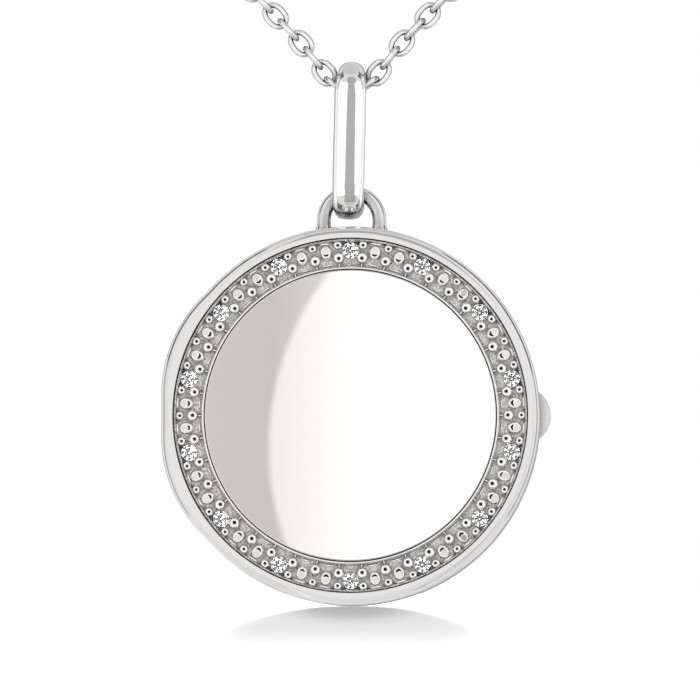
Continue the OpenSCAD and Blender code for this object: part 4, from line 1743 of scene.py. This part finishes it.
    def lay_paper(self, finish: bpy.types.Material) -> None:
        """Lays the paper, level behind the locket and sloping down in front of it."""
        bend, radius = arc_steps(0, self.floor_tilt, self.floor_bend_steps), self.floor_bend_mm
        steep = bend[-1]
        mid_y = self.floor_crest_mm + radius * math.sin(steep)
        mid_z = self.floor_crest_mm * math.tan(steep) - radius * math.cos(steep)
        profile = [
            (self.floor_behind_mm, mid_z + radius),
            *((mid_y - radius * math.sin(a), mid_z + radius * math.cos(a)) for a in bend),
            (-self.floor_front_mm, -self.floor_front_mm * math.tan(steep))]
        corners = [
            (x * MM, HANG_Y + y * MM, LID_LOW.z + (z - self.floor_gap_mm) * MM)
            for y, z in profile for x in (-self.floor_half_w_mm, self.floor_half_w_mm)]
        mesh = bpy.data.meshes.new("paper")
        mesh.from_pydata(corners, [], [(i, i + 1, i + 3, i + 2) for i in range(0, len(corners) - 2, 2)])
        mesh.polygons.foreach_set("use_smooth", np.ones(len(mesh.polygons), bool))
        mesh.materials.append(finish)
        paper = link_object("paper", mesh)
        paper.visible_glossy = False
        self.lift_shadow(paper)

    def lift_shadow(self, paper: bpy.types.Object) -> None:
        """Adds an even light that only the paper gets and that nothing blocks, to lift the shadow."""
        light = bpy.data.lights.new("paper_lift", "SUN")
        light.energy = self.lift * math.pi
        lamp = hang(light, Vector((0.0, 0.0, 1.0)), self.panel_m, CASE_Z)
        lamp.visible_glossy = False
        lamp.light_linking.blocker_collection = light_only(lamp, [paper])

    def camera(self) -> None:
        """Puts the camera in front, at the photograph's framing."""
        distance = self.distance_mm * MM
        data = bpy.data.cameras.new("camera")
        data.sensor_width = self.sensor_mm
        data.lens = self.sensor_mm * distance / (self.frame_mm * MM)
        data.clip_start, data.clip_end = self.clip_m
        camera = link_object("camera", data)
        target = Vector((self.aim_mm[0] * MM, HANG_Y, CASE_Z + self.aim_mm[1] * MM))
        camera.location = target + distance * self.direction(self.view_across, self.view_up)
        camera.rotation_euler = (target - camera.location).to_track_quat("-Z", "Y").to_euler()
        bpy.context.scene.camera = camera
        bpy.context.scene.view_settings.view_transform = "Standard"


def dress_node(name: str, finish: bpy.types.Material) -> bpy.types.Object:
    """Gives a CAD node that stays its finish, and returns it."""
    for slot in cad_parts[name].material_slots:
        slot.material = finish
    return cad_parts[name]


def main() -> None:
    """Builds the locket's looks in order: camera, finishes, case, bail, chain, stones, studio."""
    logging.basicConfig(level=logging.INFO, format="%(name)s: %(message)s")
    studio = Studio()
    studio.camera()
    polished = MirrorSilver().build()
    # Finish for both shells, with painted shade where ambient occlusion finds narrow places
    shaded = MirrorSilver(name="mopped_silver_painted_shade", shade_mm=1.1, shade_open=(0.45, 0.8)).build()
    cast = MirrorSilver(
        name="burnished_bead_silver", haze_mm=0.5, hazy_roughness=0.09, pinch_depth_mm=0.002).build()
    # Chain finish, with painted shade in narrow places and on the wire's sides turned away from the eye
    links = MirrorSilver(
        name="drawn_wire_silver", haze_mm=0.4, hazy_roughness=0.06, pinch_depth_mm=0.001,
        shade="#2E2B29", shade_mm=0.8, shade_open=(0.45, 0.8), outline="#74706D").build()
    satin = SatinSilver().build()
    cut = GraverCutSilver().build()
    # Seam finish, with painted shade in the narrow seams
    seam = SeamSilver().build()
    diamond = BrilliantDiamond().build()
    sizes = CaseSizes()
    shell, plate = Lid(sizes).build(shaded, polished, satin, seam)
    back = CaseBack(sizes).build(shaded, satin)
    floor, beads = StoneBand(sizes).build(cast, cut, seam)
    bail = Bail().build(polished)
    chain = CableChain().build(links)
    dress_node("clasp", links)
    dress_node("hinge_pin", polished)
    stones = [dress_node(f"stone_{number:02d}", diamond) for number in range(1, sizes.stones + 1)]
    studio.sky()
    studio.hang_softboxes()
    studio.lay_paper(StudioPaper().build())
    studio.light_pieces({
        Lit.PLATE: [plate], Lit.RIM: [shell], Lit.EDGES: [shell, back], Lit.BACK: [back],
        Lit.FLOOR: [floor], Lit.BEADS: [beads], Lit.STONES: stones, Lit.CHAIN: chain, Lit.BAIL: [bail]})


if __name__ == "__main__":
    main()
